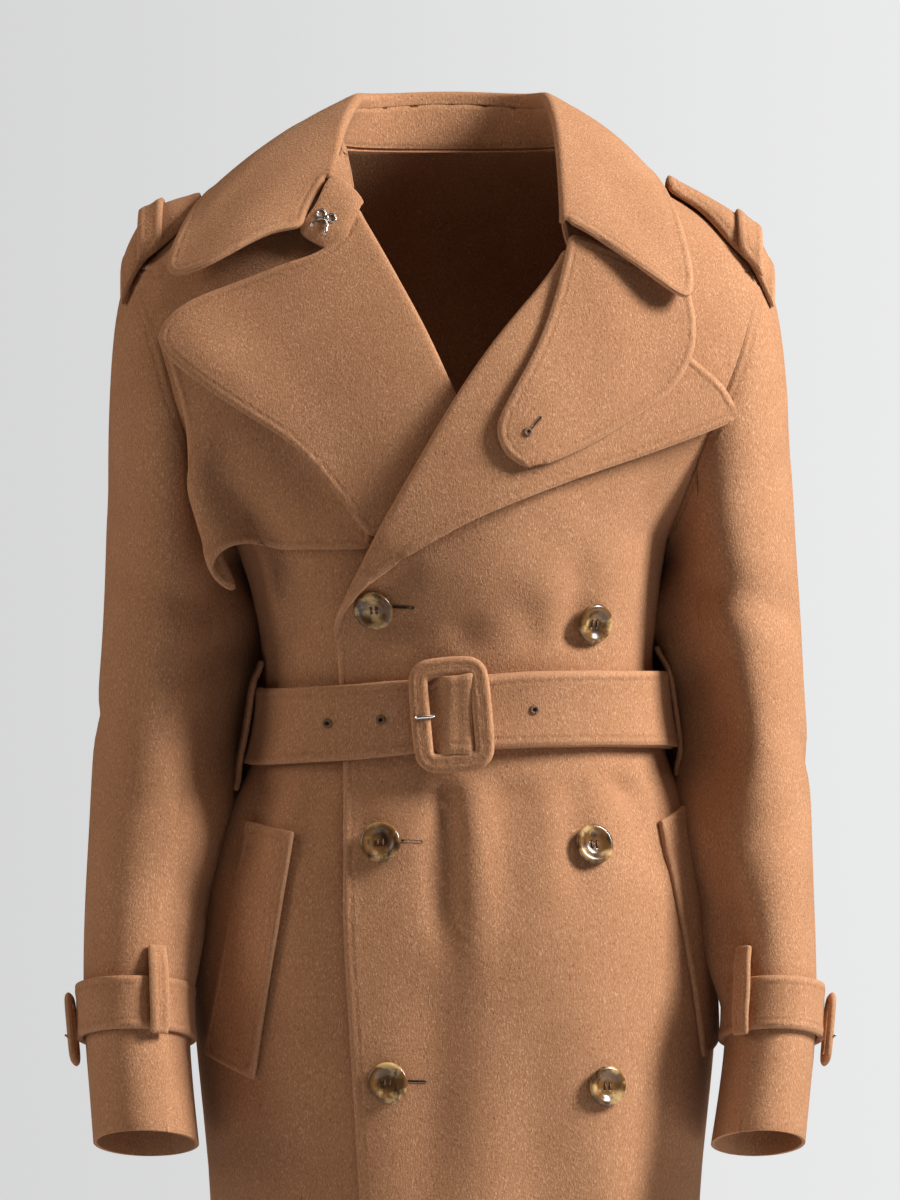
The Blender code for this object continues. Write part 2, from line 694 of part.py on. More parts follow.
def build_flaps():
    """Throat flap on the upper lapel and storm flap on the right shoulder."""
    rows = []
    for index in range(len(THROAT["left_x"])):
        first = Vector((THROAT["left_x"][index], THROAT["left_z"][index]))
        last = Vector((THROAT["right_x"][index], THROAT["right_z"][index]))
        row = []
        for share in spread(8):
            place = first.lerp(last, share)
            under = lap_lift(place.x, place.y) + 2.0 * ROLL_RADIUS
            row.append(on_front(place.x, place.y, under + FLAP_LIFT + 1.2 * MM * math.sin(math.pi * share)))
        rows.append(row)
    sheet("throat_flap", [rows])
    rows = []
    for index, height in enumerate(STORM["height"]):
        inner = STORM["inner"][index]
        outer = STORM["outer"][index]
        row = []
        for share in STORM_COLUMNS:
            across = inner + (outer - inner) * share
            row.append(storm_point(across, height, share))
        rows.append(row)
    sheet("storm_flap", [rows])


# Shoulder straps: reach along the shoulder and height of the strap's top line.
EPAULETTE_RIGHT = table("across height", (
    (-177, -25), (-189, -27), (-203, -31.5), (-215, -37.5),
    (-224, -44), (-230, -51), (-234, -59), (-236, -68),
))
EPAULETTE_LEFT = table("across height", (
    (154, -12.5), (168, -19.5), (182, -27), (196, -35), (208, -43), (219, -52), (228, -61), (233, -70),
))
EPAULETTE_FRONT = -38.0 * MM
EPAULETTE_BACK = 28.0 * MM
EPAULETTE_CREST = -6.0 * MM
EPAULETTE_SEAT_RIGHT = 2.9 * MM
EPAULETTE_SEAT_LEFT = 4.6 * MM
EPAULETTE_TURNS = (-90, -72, -50, -25, 0, 30, 60, 90)
EPAULETTE_LOOP = (203.0 * MM, 211.0 * MM, 219.0 * MM)
LOOP_RISE = 4.6 * MM


def body_top(across, depth):
    """Height of the shoulder at a place seen from above."""
    low = -0.20
    high = 0.014
    for step in range(40):
        middle = (low + high) / 2.0
        right, left, front, back = section(middle)
        reach = left if across > 0 else right
        span = front if depth < 0 else back
        part = (abs(across) / reach) ** SECTION_POWER + (abs(depth) / span) ** SECTION_POWER
        if part < 1.0:
            low = middle
        else:
            high = middle
    return low


def strap_point(across, height, turn, rise):
    """Point of a shoulder strap, arched over the shoulder with both edges down near it."""
    reach = abs(across)
    front_edge = -20.0 * MM + (EPAULETTE_FRONT + 20.0 * MM) * ramp(reach, 0.174, 0.196)
    end = front_edge if turn < 0 else EPAULETTE_BACK
    fall = (36.0 - (2.0 if turn < 0 else 14.0) * ramp(reach, 0.200, 0.222)) * MM
    above = EPAULETTE_SEAT_LEFT if across > 0 else EPAULETTE_SEAT_RIGHT
    above += 3.0 * MM * ramp(reach, 0.195, 0.215)
    seat = max(body_top(across, end) + above, height - fall)
    angle = math.radians(turn)
    out = rise if turn > 0 else -rise
    depth = EPAULETTE_CREST + (end - EPAULETTE_CREST + out) * abs(math.sin(angle))
    return Vector((across, depth, seat + (max(height - seat, 0.0) + rise) * math.cos(angle)))


def build_shoulder_straps():
    """Epaulettes and the loops that hold them."""
    for word, side, line in (("right", -1, EPAULETTE_RIGHT), ("left", 1, EPAULETTE_LEFT)):
        rows = []
        for across, height in zip(line["across"], line["height"]):
            rows.append([strap_point(across, height, turn, 0.0) for turn in EPAULETTE_TURNS])
        sheet("epaulette_" + word, [rows], STRAP_WALL)
        rows = []
        for reach in EPAULETTE_LOOP:
            across = side * reach
            height = smooth([abs(value) for value in line["across"]], line["height"], reach)
            rows.append([strap_point(across, height, turn, LOOP_RISE) for turn in EPAULETTE_TURNS])
        sheet("epaulette_loop_" + word, [rows])


# Belt by turn in degrees, from the end sewn at the buckle round the body and over itself:
# height of the middle line, lift off the body and half width.
BELT_TURNS = (6, 22, 40, 52, 64, 76, 90, 120, 150, 180, 210, 240, 270, 292, 306, 320, 336, 345,
              349.5, 354.5, 357.5, 360, 362.5, 365.0, 369.5, 375, 384, 400, 412, 424, 436, 450, 464)
BELT = {
    "turn": BELT_TURNS,
    "height": [value * MM for value in (
        -389, -387, -387, -388, -388.5, -389.5, -391, -393, -394, -394, -396, -399, -401, -401, -400,
        -398, -395.5, -393.2, -392.3, -391.4, -390.8, -390.3, -389.8, -389.4, -388.5, -387.5, -387, -387,
        -388, -388.5, -389.5, -391, -393)],
    "lift": [value * MM for value in (
        7.9, 7.9, 7.9, 7.9, 6.6, 5.4, 5.0, 4.8, 4.8, 4.8, 4.8, 4.8, 5.0, 5.4, 6.8, 7.9, 7.9, 8.0, 8.6,
        9.4, 14.5, 20.8, 18.5, 14.6, 13.4, 12.9, 12.8, 12.8, 12.6, 12.2, 10.8, 10.0, 9.8)],
    "half": [value * MM for value in (
        26.5, 27, 27, 27, 27, 27, 27, 27, 27, 27, 27, 27, 27, 27, 27, 27, 27, 26.8, 26.5, 25.6, 25, 25,
        25, 25.6, 26.5, 26.8, 27, 27, 27, 27, 27, 27, 27)],
}
BELT_STEP = 6.0

BUCKLE_WIDTH = 56.0 * MM
BUCKLE_TALL = 79.0 * MM
BUCKLE_RIM = 13.0 * MM
BUCKLE_THICK = 5.0 * MM
BUCKLE_CORNER = 9.0 * MM
BUCKLE_TILT = math.radians(5.0)
BUCKLE_CENTRE = Vector((0.001, -0.1270, -0.3902))
CUFF_BUCKLE_WIDTH = 36.0 * MM
CUFF_BUCKLE_TALL = 50.0 * MM
CUFF_BUCKLE_RIM = 8.0 * MM
CUFF_BUCKLE_THICK = 4.0 * MM


def belt_turns():
    """Turns of the belt's rows, close together where it bends."""
    turns = []
    for before, after in zip(BELT_TURNS, BELT_TURNS[1:]):
        steps = max(1, round((after - before) / BELT_STEP / (2.0 if 121 < after < 241 else 1.0)))
        turns += [before + (after - before) * index / steps for index in range(steps)]
    return turns + [BELT_TURNS[-1]]


def build_belt():
    """The belt in one length with its tail lying over the first turn."""
    rows = []
    for degrees in belt_turns():
        height = smooth(BELT["turn"], BELT["height"], degrees)
        lift = smooth(BELT["turn"], BELT["lift"], degrees)
        half = smooth(BELT["turn"], BELT["half"], degrees)
        turn = math.radians(degrees)
        rows.append([body(turn, height + half * share, lift) for share in (-1.0, 0.0, 1.0)])
    sheet("belt", [rows], BELT_WALL)
    for word, degrees in (("right", -82.0), ("left", 86.0)):
        middle = smooth(BELT["turn"], BELT["height"], degrees % 360.0)
        extra = 3.0 * MM if word == "left" else 0.0
        rows = []
        for rise, lift in ((-46, 3.4), (-40, 5.0), (-31, 10.4), (0, 11.6), (31, 10.4), (40, 5.0), (46, 3.4)):
            out = lift * MM + extra * ramp(lift, 3.0, 9.0)
            turns = [math.radians(degrees + wide) for wide in (-3.6, 0.0, 3.6)]
            rows.append([body(turn, middle + rise * MM, out) for turn in turns])
        sheet("belt_loop_" + word, [rows])


def frame_ring(name, centre, wide_axis, tall_axis, width, tall, rim, thick, corner):
    """Cloth-covered buckle frame swept round a rounded rectangle."""
    normal = wide_axis.cross(tall_axis).normalized()
    half_w = (width - rim) / 2.0
    half_t = (tall - rim) / 2.0
    path = []
    for sign_w, sign_t, start in ((1, 1, 0), (-1, 1, 90), (-1, -1, 180), (1, -1, 270)):
        for degrees in (0, 30, 60, 90):
            angle = math.radians(start + degrees)
            across = sign_w * (half_w - corner) + corner * math.cos(angle)
            upward = sign_t * (half_t - corner) + corner * math.sin(angle)
            path.append((across, upward, angle))
    bm = bmesh.new()
    rings = []
    for across, upward, angle in path:
        ring = []
        for step in range(8):
            turn = math.radians(45.0 * step)
            out = power(math.cos(turn), 0.8) * rim / 2.0
            up = power(math.sin(turn), 0.8) * thick / 2.0
            place = centre + wide_axis * (across + out * math.cos(angle))
            place = place + tall_axis * (upward + out * math.sin(angle)) + normal * up
            ring.append(bm.verts.new(place))
        rings.append(ring)
    for index, ring in enumerate(rings):
        after = rings[(index + 1) % len(rings)]
        for step in range(8):
            bm.faces.new((ring[step], ring[(step + 1) % 8], after[(step + 1) % 8], after[step]))
    bmesh.ops.recalc_face_normals(bm, faces=bm.faces)
    return finish(name, bm, wool(name))


def rod(name, points, radius, made, closed=False):
    """Round wire through points with filled ends."""
    line = bpy.data.curves.new(name, "CURVE")
    line.dimensions = "3D"
    spline = line.splines.new("POLY")
    spline.points.add(len(points) - 1)
    for place, point in zip(spline.points, points):
        place.co = (point[0], point[1], point[2], 1.0)
    spline.use_cyclic_u = closed
    spline.use_smooth = True
    line.bevel_depth = radius
    line.bevel_resolution = 1
    line.use_fill_caps = not closed
    line.materials.append(made)
    piece = bpy.data.objects.new(name, line)
    bpy.context.scene.collection.objects.link(piece)
    return piece


def metal(name):
    """Silver metal of one piece."""
    return material(name + "_metal", METAL_COLOUR, 0.25, 1.0)


def build_buckle():
    """Covered belt buckle, its bar and its prong."""
    tilt = math.tan(0.10)
    wide = Vector((math.cos(BUCKLE_TILT), -tilt, math.sin(BUCKLE_TILT))).normalized()
    tall = Vector((-math.sin(BUCKLE_TILT), 0.0, math.cos(BUCKLE_TILT)))
    tall = (tall - wide * tall.dot(wide)).normalized()
    frame_ring("belt_buckle", BUCKLE_CENTRE, wide, tall, BUCKLE_WIDTH, BUCKLE_TALL, BUCKLE_RIM,
               BUCKLE_THICK, BUCKLE_CORNER)
    back = BUCKLE_CENTRE + Vector((0.0, 4.2 * MM, 0.0))
    half = BUCKLE_TALL / 2.0 - BUCKLE_RIM - 0.4 * MM
    rod("belt_bar", [back - tall * half, back + tall * half], 1.5 * MM, metal("belt_bar"))
    lie = wide * -1.0
    out = wide.cross(tall).normalized()
    if out.y > 0:
        out = out * -1.0
    root = BUCKLE_CENTRE + lie * 11.5 * MM + out * 1.6 * MM
    bend = BUCKLE_CENTRE + lie * 15.0 * MM + out * 3.5 * MM
    tip = BUCKLE_CENTRE + lie * 25.0 * MM + out * 3.9 * MM
    rod("belt_prong", [root, bend, tip], 1.1 * MM, metal("belt_prong"))


WELT_RIGHT = table("out_x out_z in_x in_z", (
    (-142.1, -466.9, -107.1, -473.2), (-149.0, -507.0, -114.0, -515.0), (-156.0, -547.0, -121.0, -557.0),
    (-163.0, -587.0, -128.0, -600.0), (-170.1, -627.9, -135.1, -642.6),
))
WELT_LEFT = table("in_x in_z", (
    (147.7, -466.2), (156.8, -507.5), (161.5, -535.0), (165.9, -563.5), (170.5, -597.0), (175.0, -630.0),
))
WELT_LIFT = 3.5 * MM


def build_welts():
    """Slanted pocket welts on both fronts."""
    rows = []
    for index in range(len(WELT_RIGHT["in_x"])):
        inner = WELT_RIGHT["in_z"][index]
        outer = WELT_RIGHT["out_z"][index]
        first = turn_at(WELT_RIGHT["in_x"][index], inner)
        last = turn_at(WELT_RIGHT["out_x"][index], outer)
        rows.append([body(first + (last - first) * share, inner + (outer - inner) * share, WELT_LIFT)
                     for share in spread(5)])
    sheet("pocket_welt_right", [rows])
    rows = []
    for index in range(len(WELT_LEFT["in_x"])):
        height = WELT_LEFT["in_z"][index]
        first = turn_at(WELT_LEFT["in_x"][index], height)
        rows.append([body(first + math.radians(15.0) * share, height + 9.0 * MM * share, WELT_LIFT)
                     for share in spread(5)])
    sheet("pocket_welt_left", [rows])


BUTTONS = table("across height seat", (
    (-52.4, -318.0, 0.6), (-47.6, -478.1, -0.1), (-42.7, -641.9, 0.2),
    (100.1, -327.6, 0.5), (99.4, -480.2, -0.4), (107.1, -645.4, -0.2),
))
BUTTON_NAMES = ("upper_right", "middle_right", "lower_right", "upper_left", "middle_left", "lower_left")
BUTTON_PROFILE = table("radius rise", (
    (0.0, 1.4), (8.4, 1.4), (10.2, 3.0), (12.0, 3.6), (14.0, 2.2), (12.6, 0.2), (0.0, 0.0),
))
BUTTON_STEPS = 16


def cloth_point(across, height):
    """Point on the upper front."""
    return on_front(across, height, lap_lift(across, height))


def build_buttons():
    """Six dished coat buttons in two columns."""
    columns = (BUTTONS["across"], BUTTONS["height"], BUTTONS["seat"])
    for name, across, height, seat in zip(BUTTON_NAMES, *columns):
        base = on_front(across, height, lap_lift(across, height) + WALL / 2.0 + seat)
        beside = cloth_point(across + 6.0 * MM, height) - cloth_point(across - 6.0 * MM, height)
        upward = cloth_point(across, height + 6.0 * MM) - cloth_point(across, height - 6.0 * MM)
        out = beside.cross(upward).normalized()
        bm = bmesh.new()
        line = [bm.verts.new((radius, 0.0, rise))
                for radius, rise in zip(BUTTON_PROFILE["radius"], BUTTON_PROFILE["rise"])]
        edges = [bm.edges.new((before, after)) for before, after in zip(line, line[1:])]
        bmesh.ops.spin(bm, geom=line + edges, cent=(0, 0, 0), axis=(0, 0, 1), angle=2 * math.pi,
                       steps=BUTTON_STEPS, use_merge=True)
        bmesh.ops.remove_doubles(bm, verts=bm.verts, dist=0.00002)
        bmesh.ops.recalc_face_normals(bm, faces=bm.faces)
        turn = out.to_track_quat("Z", "Y").to_matrix().to_4x4()
        turn.translation = base
        bmesh.ops.transform(bm, matrix=turn, verts=bm.verts)
        finish("button_" + name, bm, material("button_%s_horn" % name, HORN_COLOUR, 0.25))


CUFF_STRAP = -600.0 * MM
CUFF_STRAP_HALF = 18.0 * MM
CUFF_STRAP_OUT = 4.2 * MM
CUFF_LOOP = ((-40, 3.6), (-33, 5.4), (-24, 8.4), (0, 8.8), (24, 8.4), (33, 5.4), (40, 3.6))


def build_cuffs():
    """Cuff straps with their loops, covered buckles and prongs."""
    for word, side, arm, place in (("right", -1, SLEEVE_RIGHT, 116.0), ("left", 1, SLEEVE_LEFT, 128.0)):
        rows = []
        for step in range(24):
            angle = math.radians(15.0 * step)
            rows.append([sleeve_ring(side, arm, CUFF_STRAP + CUFF_STRAP_HALF * share, angle, CUFF_STRAP_OUT)
                         for share in (-1.0, 0.0, 1.0)])
        sheet("cuff_strap_" + word, [rows], STRAP_WALL, closed=True)
        rows = []
        for rise, out in CUFF_LOOP:
            rows.append([sleeve_ring(side, arm, CUFF_STRAP + rise * MM, math.radians(place + wide), out * MM)
                         for wide in (-8.0, 0.0, 8.0)])
        sheet("cuff_loop_" + word, [rows])
        rest = sleeve_ring(side, arm, CUFF_STRAP, math.radians(4.0), 8.2 * MM)
        centre = rest + Vector((0.0, 0.0, -12.0 * MM))
        wide = Vector((side * 0.05, -0.98, 0.19)).normalized()
        tall = Vector((side * 0.10, 0.19, 0.97))
        tall = (tall - wide * tall.dot(wide)).normalized()
        frame_ring("cuff_buckle_" + word, centre, wide, tall, CUFF_BUCKLE_WIDTH, CUFF_BUCKLE_TALL,
                   CUFF_BUCKLE_RIM, CUFF_BUCKLE_THICK, 7.0 * MM)
        out = wide.cross(tall).normalized()
        if out.x * side < 0:
            out = out * -1.0
        start = centre + wide * 18.0 * MM + out * 3.2 * MM - tall * 6.0 * MM
        tip = start - wide * 15.0 * MM - out * 0.4 * MM
        rod("cuff_prong_" + word, [start, tip], 0.9 * MM, metal("cuff_prong_" + word))


HOOK = ((-8.0, 3.0), (-4.5, 5.5), (-1.0, 3.0), (2.0, 5.0), (6.0, 3.5), (7.0, -1.0), (3.5, -2.0), (1.5, 1.0),
        (-1.0, -1.0), (-3.0, -5.0), (-6.5, -5.5), (-7.0, -2.0))
HOOK_CENTRE = (-88.5 * MM, -48.0 * MM)
HOOK_WIRE = 0.7 * MM
HOOK_DEPTH = -93.3 * MM
HOOK_LEAN = 0.477


def build_hook():
    """Wire hook on the end of the collar stand."""
    points = []
    for across, upward in HOOK:
        depth = HOOK_DEPTH + HOOK_LEAN * upward * MM
        points.append(Vector((HOOK_CENTRE[0] + across * MM, depth, HOOK_CENTRE[1] + upward * MM)))
    rod("collar_hook", points, HOOK_WIRE, metal("collar_hook"), closed=True)


def clear_scene():
    """Empty the scene of objects."""
    for item in list(bpy.data.objects):
        bpy.data.objects.remove(item, do_unlink=True)


clear_scene()
build_fronts()
build_back()
build_sleeves()
build_collar()
build_flaps()
build_shoulder_straps()
build_belt()
build_buckle()
build_welts()
build_buttons()
build_cuffs()
build_hook()
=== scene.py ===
import math

import bmesh
import bpy
import numpy as np
from bpy.props import FloatProperty, FloatVectorProperty, IntProperty, PointerProperty
from mathutils import Matrix, Vector
from mathutils.bvhtree import BVHTree
from mathutils.kdtree import KDTree


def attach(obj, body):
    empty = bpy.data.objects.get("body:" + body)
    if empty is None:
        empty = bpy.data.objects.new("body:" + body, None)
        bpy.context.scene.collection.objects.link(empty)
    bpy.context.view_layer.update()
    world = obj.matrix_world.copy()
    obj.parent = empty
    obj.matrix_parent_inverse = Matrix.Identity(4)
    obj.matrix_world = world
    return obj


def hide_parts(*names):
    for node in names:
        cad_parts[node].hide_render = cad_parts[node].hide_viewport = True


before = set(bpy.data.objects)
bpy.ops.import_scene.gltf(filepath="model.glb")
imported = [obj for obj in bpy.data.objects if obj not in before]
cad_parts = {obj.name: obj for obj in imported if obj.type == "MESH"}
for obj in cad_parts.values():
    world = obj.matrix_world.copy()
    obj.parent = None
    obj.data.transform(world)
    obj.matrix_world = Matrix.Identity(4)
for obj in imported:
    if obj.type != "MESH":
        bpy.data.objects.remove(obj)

bl_info = {
    "name": "Belted Long Coat",
    "version": (1, 0, 0),
    "blender": (4, 5, 0),
    "location": "3D View > Sidebar > Coat",
    "description": "Dresses the solids of a belted long coat in brushed wool with horn buttons "
                   "and silver fittings",
    "category": "Object",
}

MM = 0.001
BODY = "root"
MERGE = 0.02 * MM
SHARP = math.radians(58.0)
CORNER = 4.4 * MM
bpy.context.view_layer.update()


def table(heads, rows):
    """Rows of values as dictionaries with named columns."""
    names = heads.split()
    return [dict(zip(names, row)) for row in rows]


# Cloth pieces with the size each was cut to, in metres and square metres.
CLOTH = table("node width length area held rests_on", (
    ("back", 0.57, 1.17, 0.548, "hung", "front_left front_right"),
    ("front_left", 0.45, 1.20, 0.355, "hung", "back"),
    ("front_right", 0.47, 1.20, 0.386, "hung", "front_left"),
    ("sleeve_left_top", 0.25, 0.64, 0.128, "hung", "front_left"),
    ("sleeve_left_under", 0.15, 0.50, 0.061, "hung", "sleeve_left_top"),
    ("sleeve_right_top", 0.25, 0.64, 0.132, "hung", "front_right"),
    ("sleeve_right_under", 0.15, 0.50, 0.062, "hung", "sleeve_right_top"),
    ("collar_leaf", 0.16, 0.60, 0.064, "folded", "collar_stand"),
    ("collar_stand", 0.036, 0.36, 0.0088, "hung", "back"),
    ("collar_stand_end", 0.042, 0.052, 0.0014, "laid", "front_right"),
    ("throat_flap", 0.11, 0.20, 0.0148, "laid", "front_left"),
    ("storm_flap", 0.17, 0.20, 0.0199, "hung", "front_right"),
    ("epaulette_left", 0.090, 0.125, 0.0080, "laid", "front_left"),
    ("epaulette_right", 0.090, 0.110, 0.0071, "laid", "front_right"),
    ("epaulette_loop_left", 0.018, 0.14, 0.0022, "laid", "epaulette_left"),
    ("epaulette_loop_right", 0.018, 0.14, 0.0023, "laid", "epaulette_right"),
    ("belt", 0.054, 1.10, 0.0588, "stretched", "front_right"),
    ("belt_loop_left", 0.020, 0.105, 0.0020, "stretched", "belt"),
    ("belt_loop_right", 0.018, 0.105, 0.0018, "stretched", "belt"),
    ("pocket_welt_left", 0.045, 0.18, 0.0068, "laid", "front_left"),
    ("pocket_welt_right", 0.055, 0.19, 0.0092, "laid", "front_right"),
    ("cuff_strap_left", 0.040, 0.33, 0.0130, "stretched", "sleeve_left_top"),
    ("cuff_strap_right", 0.040, 0.34, 0.0133, "stretched", "sleeve_right_top"),
    ("cuff_loop_left", 0.016, 0.072, 0.0011, "stretched", "cuff_strap_left"),
    ("cuff_loop_right", 0.016, 0.070, 0.0011, "stretched", "cuff_strap_right"),
))
# Pieces without a raised rim along their free edges.
PLAIN_EDGES = (
    "sleeve_left_top", "sleeve_left_under", "sleeve_right_top", "sleeve_right_under", "collar_stand",
    "collar_stand_end",
)
# Pieces whose short corner edges stay uncreased, so that their corners are round.
SOFT_CORNERS = (
    "front_left", "front_right", "collar_leaf", "collar_stand_end", "throat_flap", "storm_flap",
    "epaulette_left", "epaulette_right",
)
FITTINGS = ("belt_bar", "belt_prong", "cuff_prong_left", "cuff_prong_right", "collar_hook")
BUTTONS = (
    "button_upper_left", "button_middle_left", "button_lower_left",
    "button_upper_right", "button_middle_right", "button_lower_right",
)

# Soft troughs (negative) and ridges (positive) on the body, seen from the front, in millimetres.
FRONT_CREASES = table("x0 z0 x1 z1 width depth", (
    (-6, -424, -3, -548, 11, -4.6),
    (-6, -570, -16, -735, 20, -2.8),
    (14, -424, 20, -575, 10, 2.9),
    (36, -428, 44, -520, 11, -2.2),
    (108, -424, 132, -455, 8, -4.2),
    (132, -455, 148, -500, 10, -2.2),
    (84, -430, 92, -520, 12, -2.2),
    (52, -432, 58, -500, 10, -1.6),
    (-62, -434, -66, -520, 9, -1.7),
    (-92, -436, -98, -500, 9, -1.4),
    (-124, -436, -144, -500, 10, -2.6),
    (86, -352, 92, -276, 13, -3.4),
    (74, -258, 30, -318, 17, -1.5),
    (-30, -286, -52, -346, 12, -2.2),
    (14, -350, 10, -322, 10, -1.6),
    (60, -352, 52, -310, 11, -1.4),
    (-30, -352, -26, -318, 9, -1.0),
    (-112, -352, -106, -320, 10, -1.6),
    (60, -600, 66, -1120, 30, -5.0),
    (-90, -640, -100, -1120, 28, -4.4),
    (20, -760, 26, -1125, 24, 3.6),
    (118, -660, 128, -1120, 26, 3.0),
    (-40, -800, -52, -1125, 22, -3.0),
))
# The same on the back, seen from behind at the same x.
BACK_CREASES = table("x0 z0 x1 z1 width depth", (
    (-96, -340, -70, -250, 16, -3.4),
    (92, -342, 74, -244, 15, -3.0),
    (-30, -350, -22, -290, 12, -2.2),
    (36, -350, 30, -276, 13, -2.6),
    (0, -436, 4, -700, 20, -3.6),
    (-58, -434, -70, -640, 16, -3.0),
    (64, -434, 72, -680, 17, -3.4),
    (110, -436, 124, -560, 12, -2.4),
    (-112, -436, -120, -600, 13, -2.8),
    (-40, -700, -46, -1125, 28, -5.0),
    (52, -720, 60, -1125, 30, -5.4),
    (104, -800, 110, -1125, 24, 4.0),
    (-104, -760, -112, -1125, 25, 4.2),
    (-120, -150, -60, -128, 14, -1.6),
    (124, -152, 66, -126, 14, -1.8),
))
# Creases across the sleeves: height at the middle, angle round the sleeve and slope, depth in millimetres.
SLEEVE_CREASES = table("side angle height reach rise width depth", (
    (-1, 20, -300, 55, 24, 13, -2.6),
    (-1, -30, -352, 60, -20, 14, -2.8),
    (-1, 60, -402, 50, 26, 12, -2.2),
    (-1, 10, -452, 65, -14, 15, -2.0),
    (-1, -50, -515, 50, 18, 13, -1.8),
    (-1, 160, -350, 70, 12, 12, -3.0),
    (-1, 175, -395, 60, -12, 13, -2.6),
    (-1, 35, -210, 60, -30, 17, -2.0),
    (1, 16, -312, 60, -22, 14, -2.6),
    (1, -34, -364, 55, 20, 13, -2.6),
    (1, 55, -418, 55, -24, 12, -2.2),
    (1, 5, -470, 65, 12, 15, -2.0),
    (1, -45, -528, 50, -18, 13, -1.8),
    (1, 165, -356, 70, -12, 12, -3.0),
    (1, 172, -404, 60, 12, 13, -2.6),
    (1, 38, -220, 60, 28, 17, -2.0),
))
# Panels that are sewn edge to edge: no turned edge shows along these seams.
SEWN = {
    "back": ("front_left", "front_right", "collar_stand", "sleeve_left_top", "sleeve_left_under",
             "sleeve_right_top", "sleeve_right_under"),
    "front_left": ("back", "sleeve_left_top", "sleeve_left_under", "collar_stand"),
    "front_right": ("back", "sleeve_right_top", "sleeve_right_under", "collar_stand"),
    "sleeve_left_top": ("sleeve_left_under", "front_left", "back"),
    "sleeve_left_under": ("sleeve_left_top", "front_left", "back"),
    "sleeve_right_top": ("sleeve_right_under", "front_right", "back"),
    "sleeve_right_under": ("sleeve_right_top", "front_right", "back"),
    "collar_stand": ("back", "front_left", "front_right", "collar_leaf"),
    "collar_leaf": ("collar_stand",),
}
SEAM_REACH = 5.0 * MM
# How far a sleeve's head is drawn on to the armhole, and over what width.
HEAD_CLOSE = 2.4 * MM
HEAD_WIDTH = 16.0 * MM
# The right lapel: lift along its lower edge, the hollow below it, and how its layer is told from the front.
LAPEL_LIFT = dict(x0=-192, z0=-126, x1=-62, z1=-264, width=22, depth=2.8)
LAPEL_HOLLOW = dict(x0=-142, z0=-168, x1=-80, z1=-248, width=17, depth=-3.4)
LAPEL_WALL = 3.0 * MM
LAPEL_DEPTH = 45 * MM
# How far the left welt is pressed in, and the share of a cuff loop's length that is drawn up.
WELT_PRESS = 1.4 * MM
LOOP_DRAW = 0.24
# Edges inside a seam are rounded less.
PLAIN_ROUND = 0.4
# Pieces whose edges are drawn up to their neighbours, and by what share of the gap.
CLOSED = {
    "back": (("front_left", "front_right"), 0.55),
    "front_left": (("back",), 0.55),
    "front_right": (("back",), 0.55),
    "collar_stand": (("back", "collar_leaf"), 1.0),
    **{node: (others[:1], 0.62) for node, others in SEWN.items() if node.startswith("sleeve")},
}
# The belt's fold over its bar: ends and middle in the buckle's window, its spread and its lift.
FOLD_LEFT = (-14 * MM, -7 * MM)
FOLD_RIGHT = (15 * MM, 20 * MM)
FOLD_RISE = (4 * MM, 14 * MM)
FOLD_MIDDLE = -390.6 * MM
FOLD_SPREAD = 0.24
FOLD_LIFT = 4.0 * MM
FOLD_FRONT = -100 * MM
# Heights over which creases fade towards the belt from above and below, and depths at the side seams.
BELT_ABOVE = (-358 * MM, -336 * MM)
BELT_BELOW = (-443 * MM, -430 * MM)
SIDE_FADE = (4 * MM, 45 * MM)
BODY_HALF_WIDTH = 170 * MM
BODY_HALF_DEPTH = 125 * MM
# How far the inner side of the right and left sleeve is drawn in, and between which heights.
TUCK = {-1: 9 * MM, 1: 17 * MM}
TUCK_FOOT = (-620 * MM, -540 * MM)
TUCK_TOP = (-320 * MM, -280 * MM)
# Heights at which a sleeve's middle is found, and half the band of points used for each.
SLEEVE_FOOT = -700 * MM
SLEEVE_TOP = -200 * MM
SLEEVE_STEPS = 21
SLEEVE_BAND = 30 * MM
# How far the end of the collar stand spreads under its neighbours, and how deep its rim sinks.
TAB_SPREAD = 5 * MM
TAB_SINK = 4.5 * MM
# How far the end of a shoulder strap is drawn in and down, and where that starts and ends.
STRAP_IN = 6 * MM
STRAP_DOWN = 5 * MM
STRAP_END = (208 * MM, 236 * MM)
# Half width of a sewn line, the reach of the pale fuzz painted as a highlight along an edge, and the width of
# its turn.
LINE_HALF = 2.4 * MM
FUZZ_AND_HIGHLIGHT = (0.4 * MM, 3.0 * MM)
TURN = 2.6 * MM
# Noises of the brushed wool: size, shape, and the weight of each in the colour and in the height.
NAP = table("scale detail rough stretch tone relief", (
    (560.0, 3.0, 0.60, None, 1.0, 0.9),
    (1050.0, 2.0, 0.60, (1.0, 1.0, 0.36), 2.3, 0.7),
    (2200.0, 2.0, 0.60, (1.0, 0.8, 0.30), 1.9, 0.25),
    (21.0, 3.0, 0.55, None, 0.55, 0.0),
))
TUBE_SIDES = 8


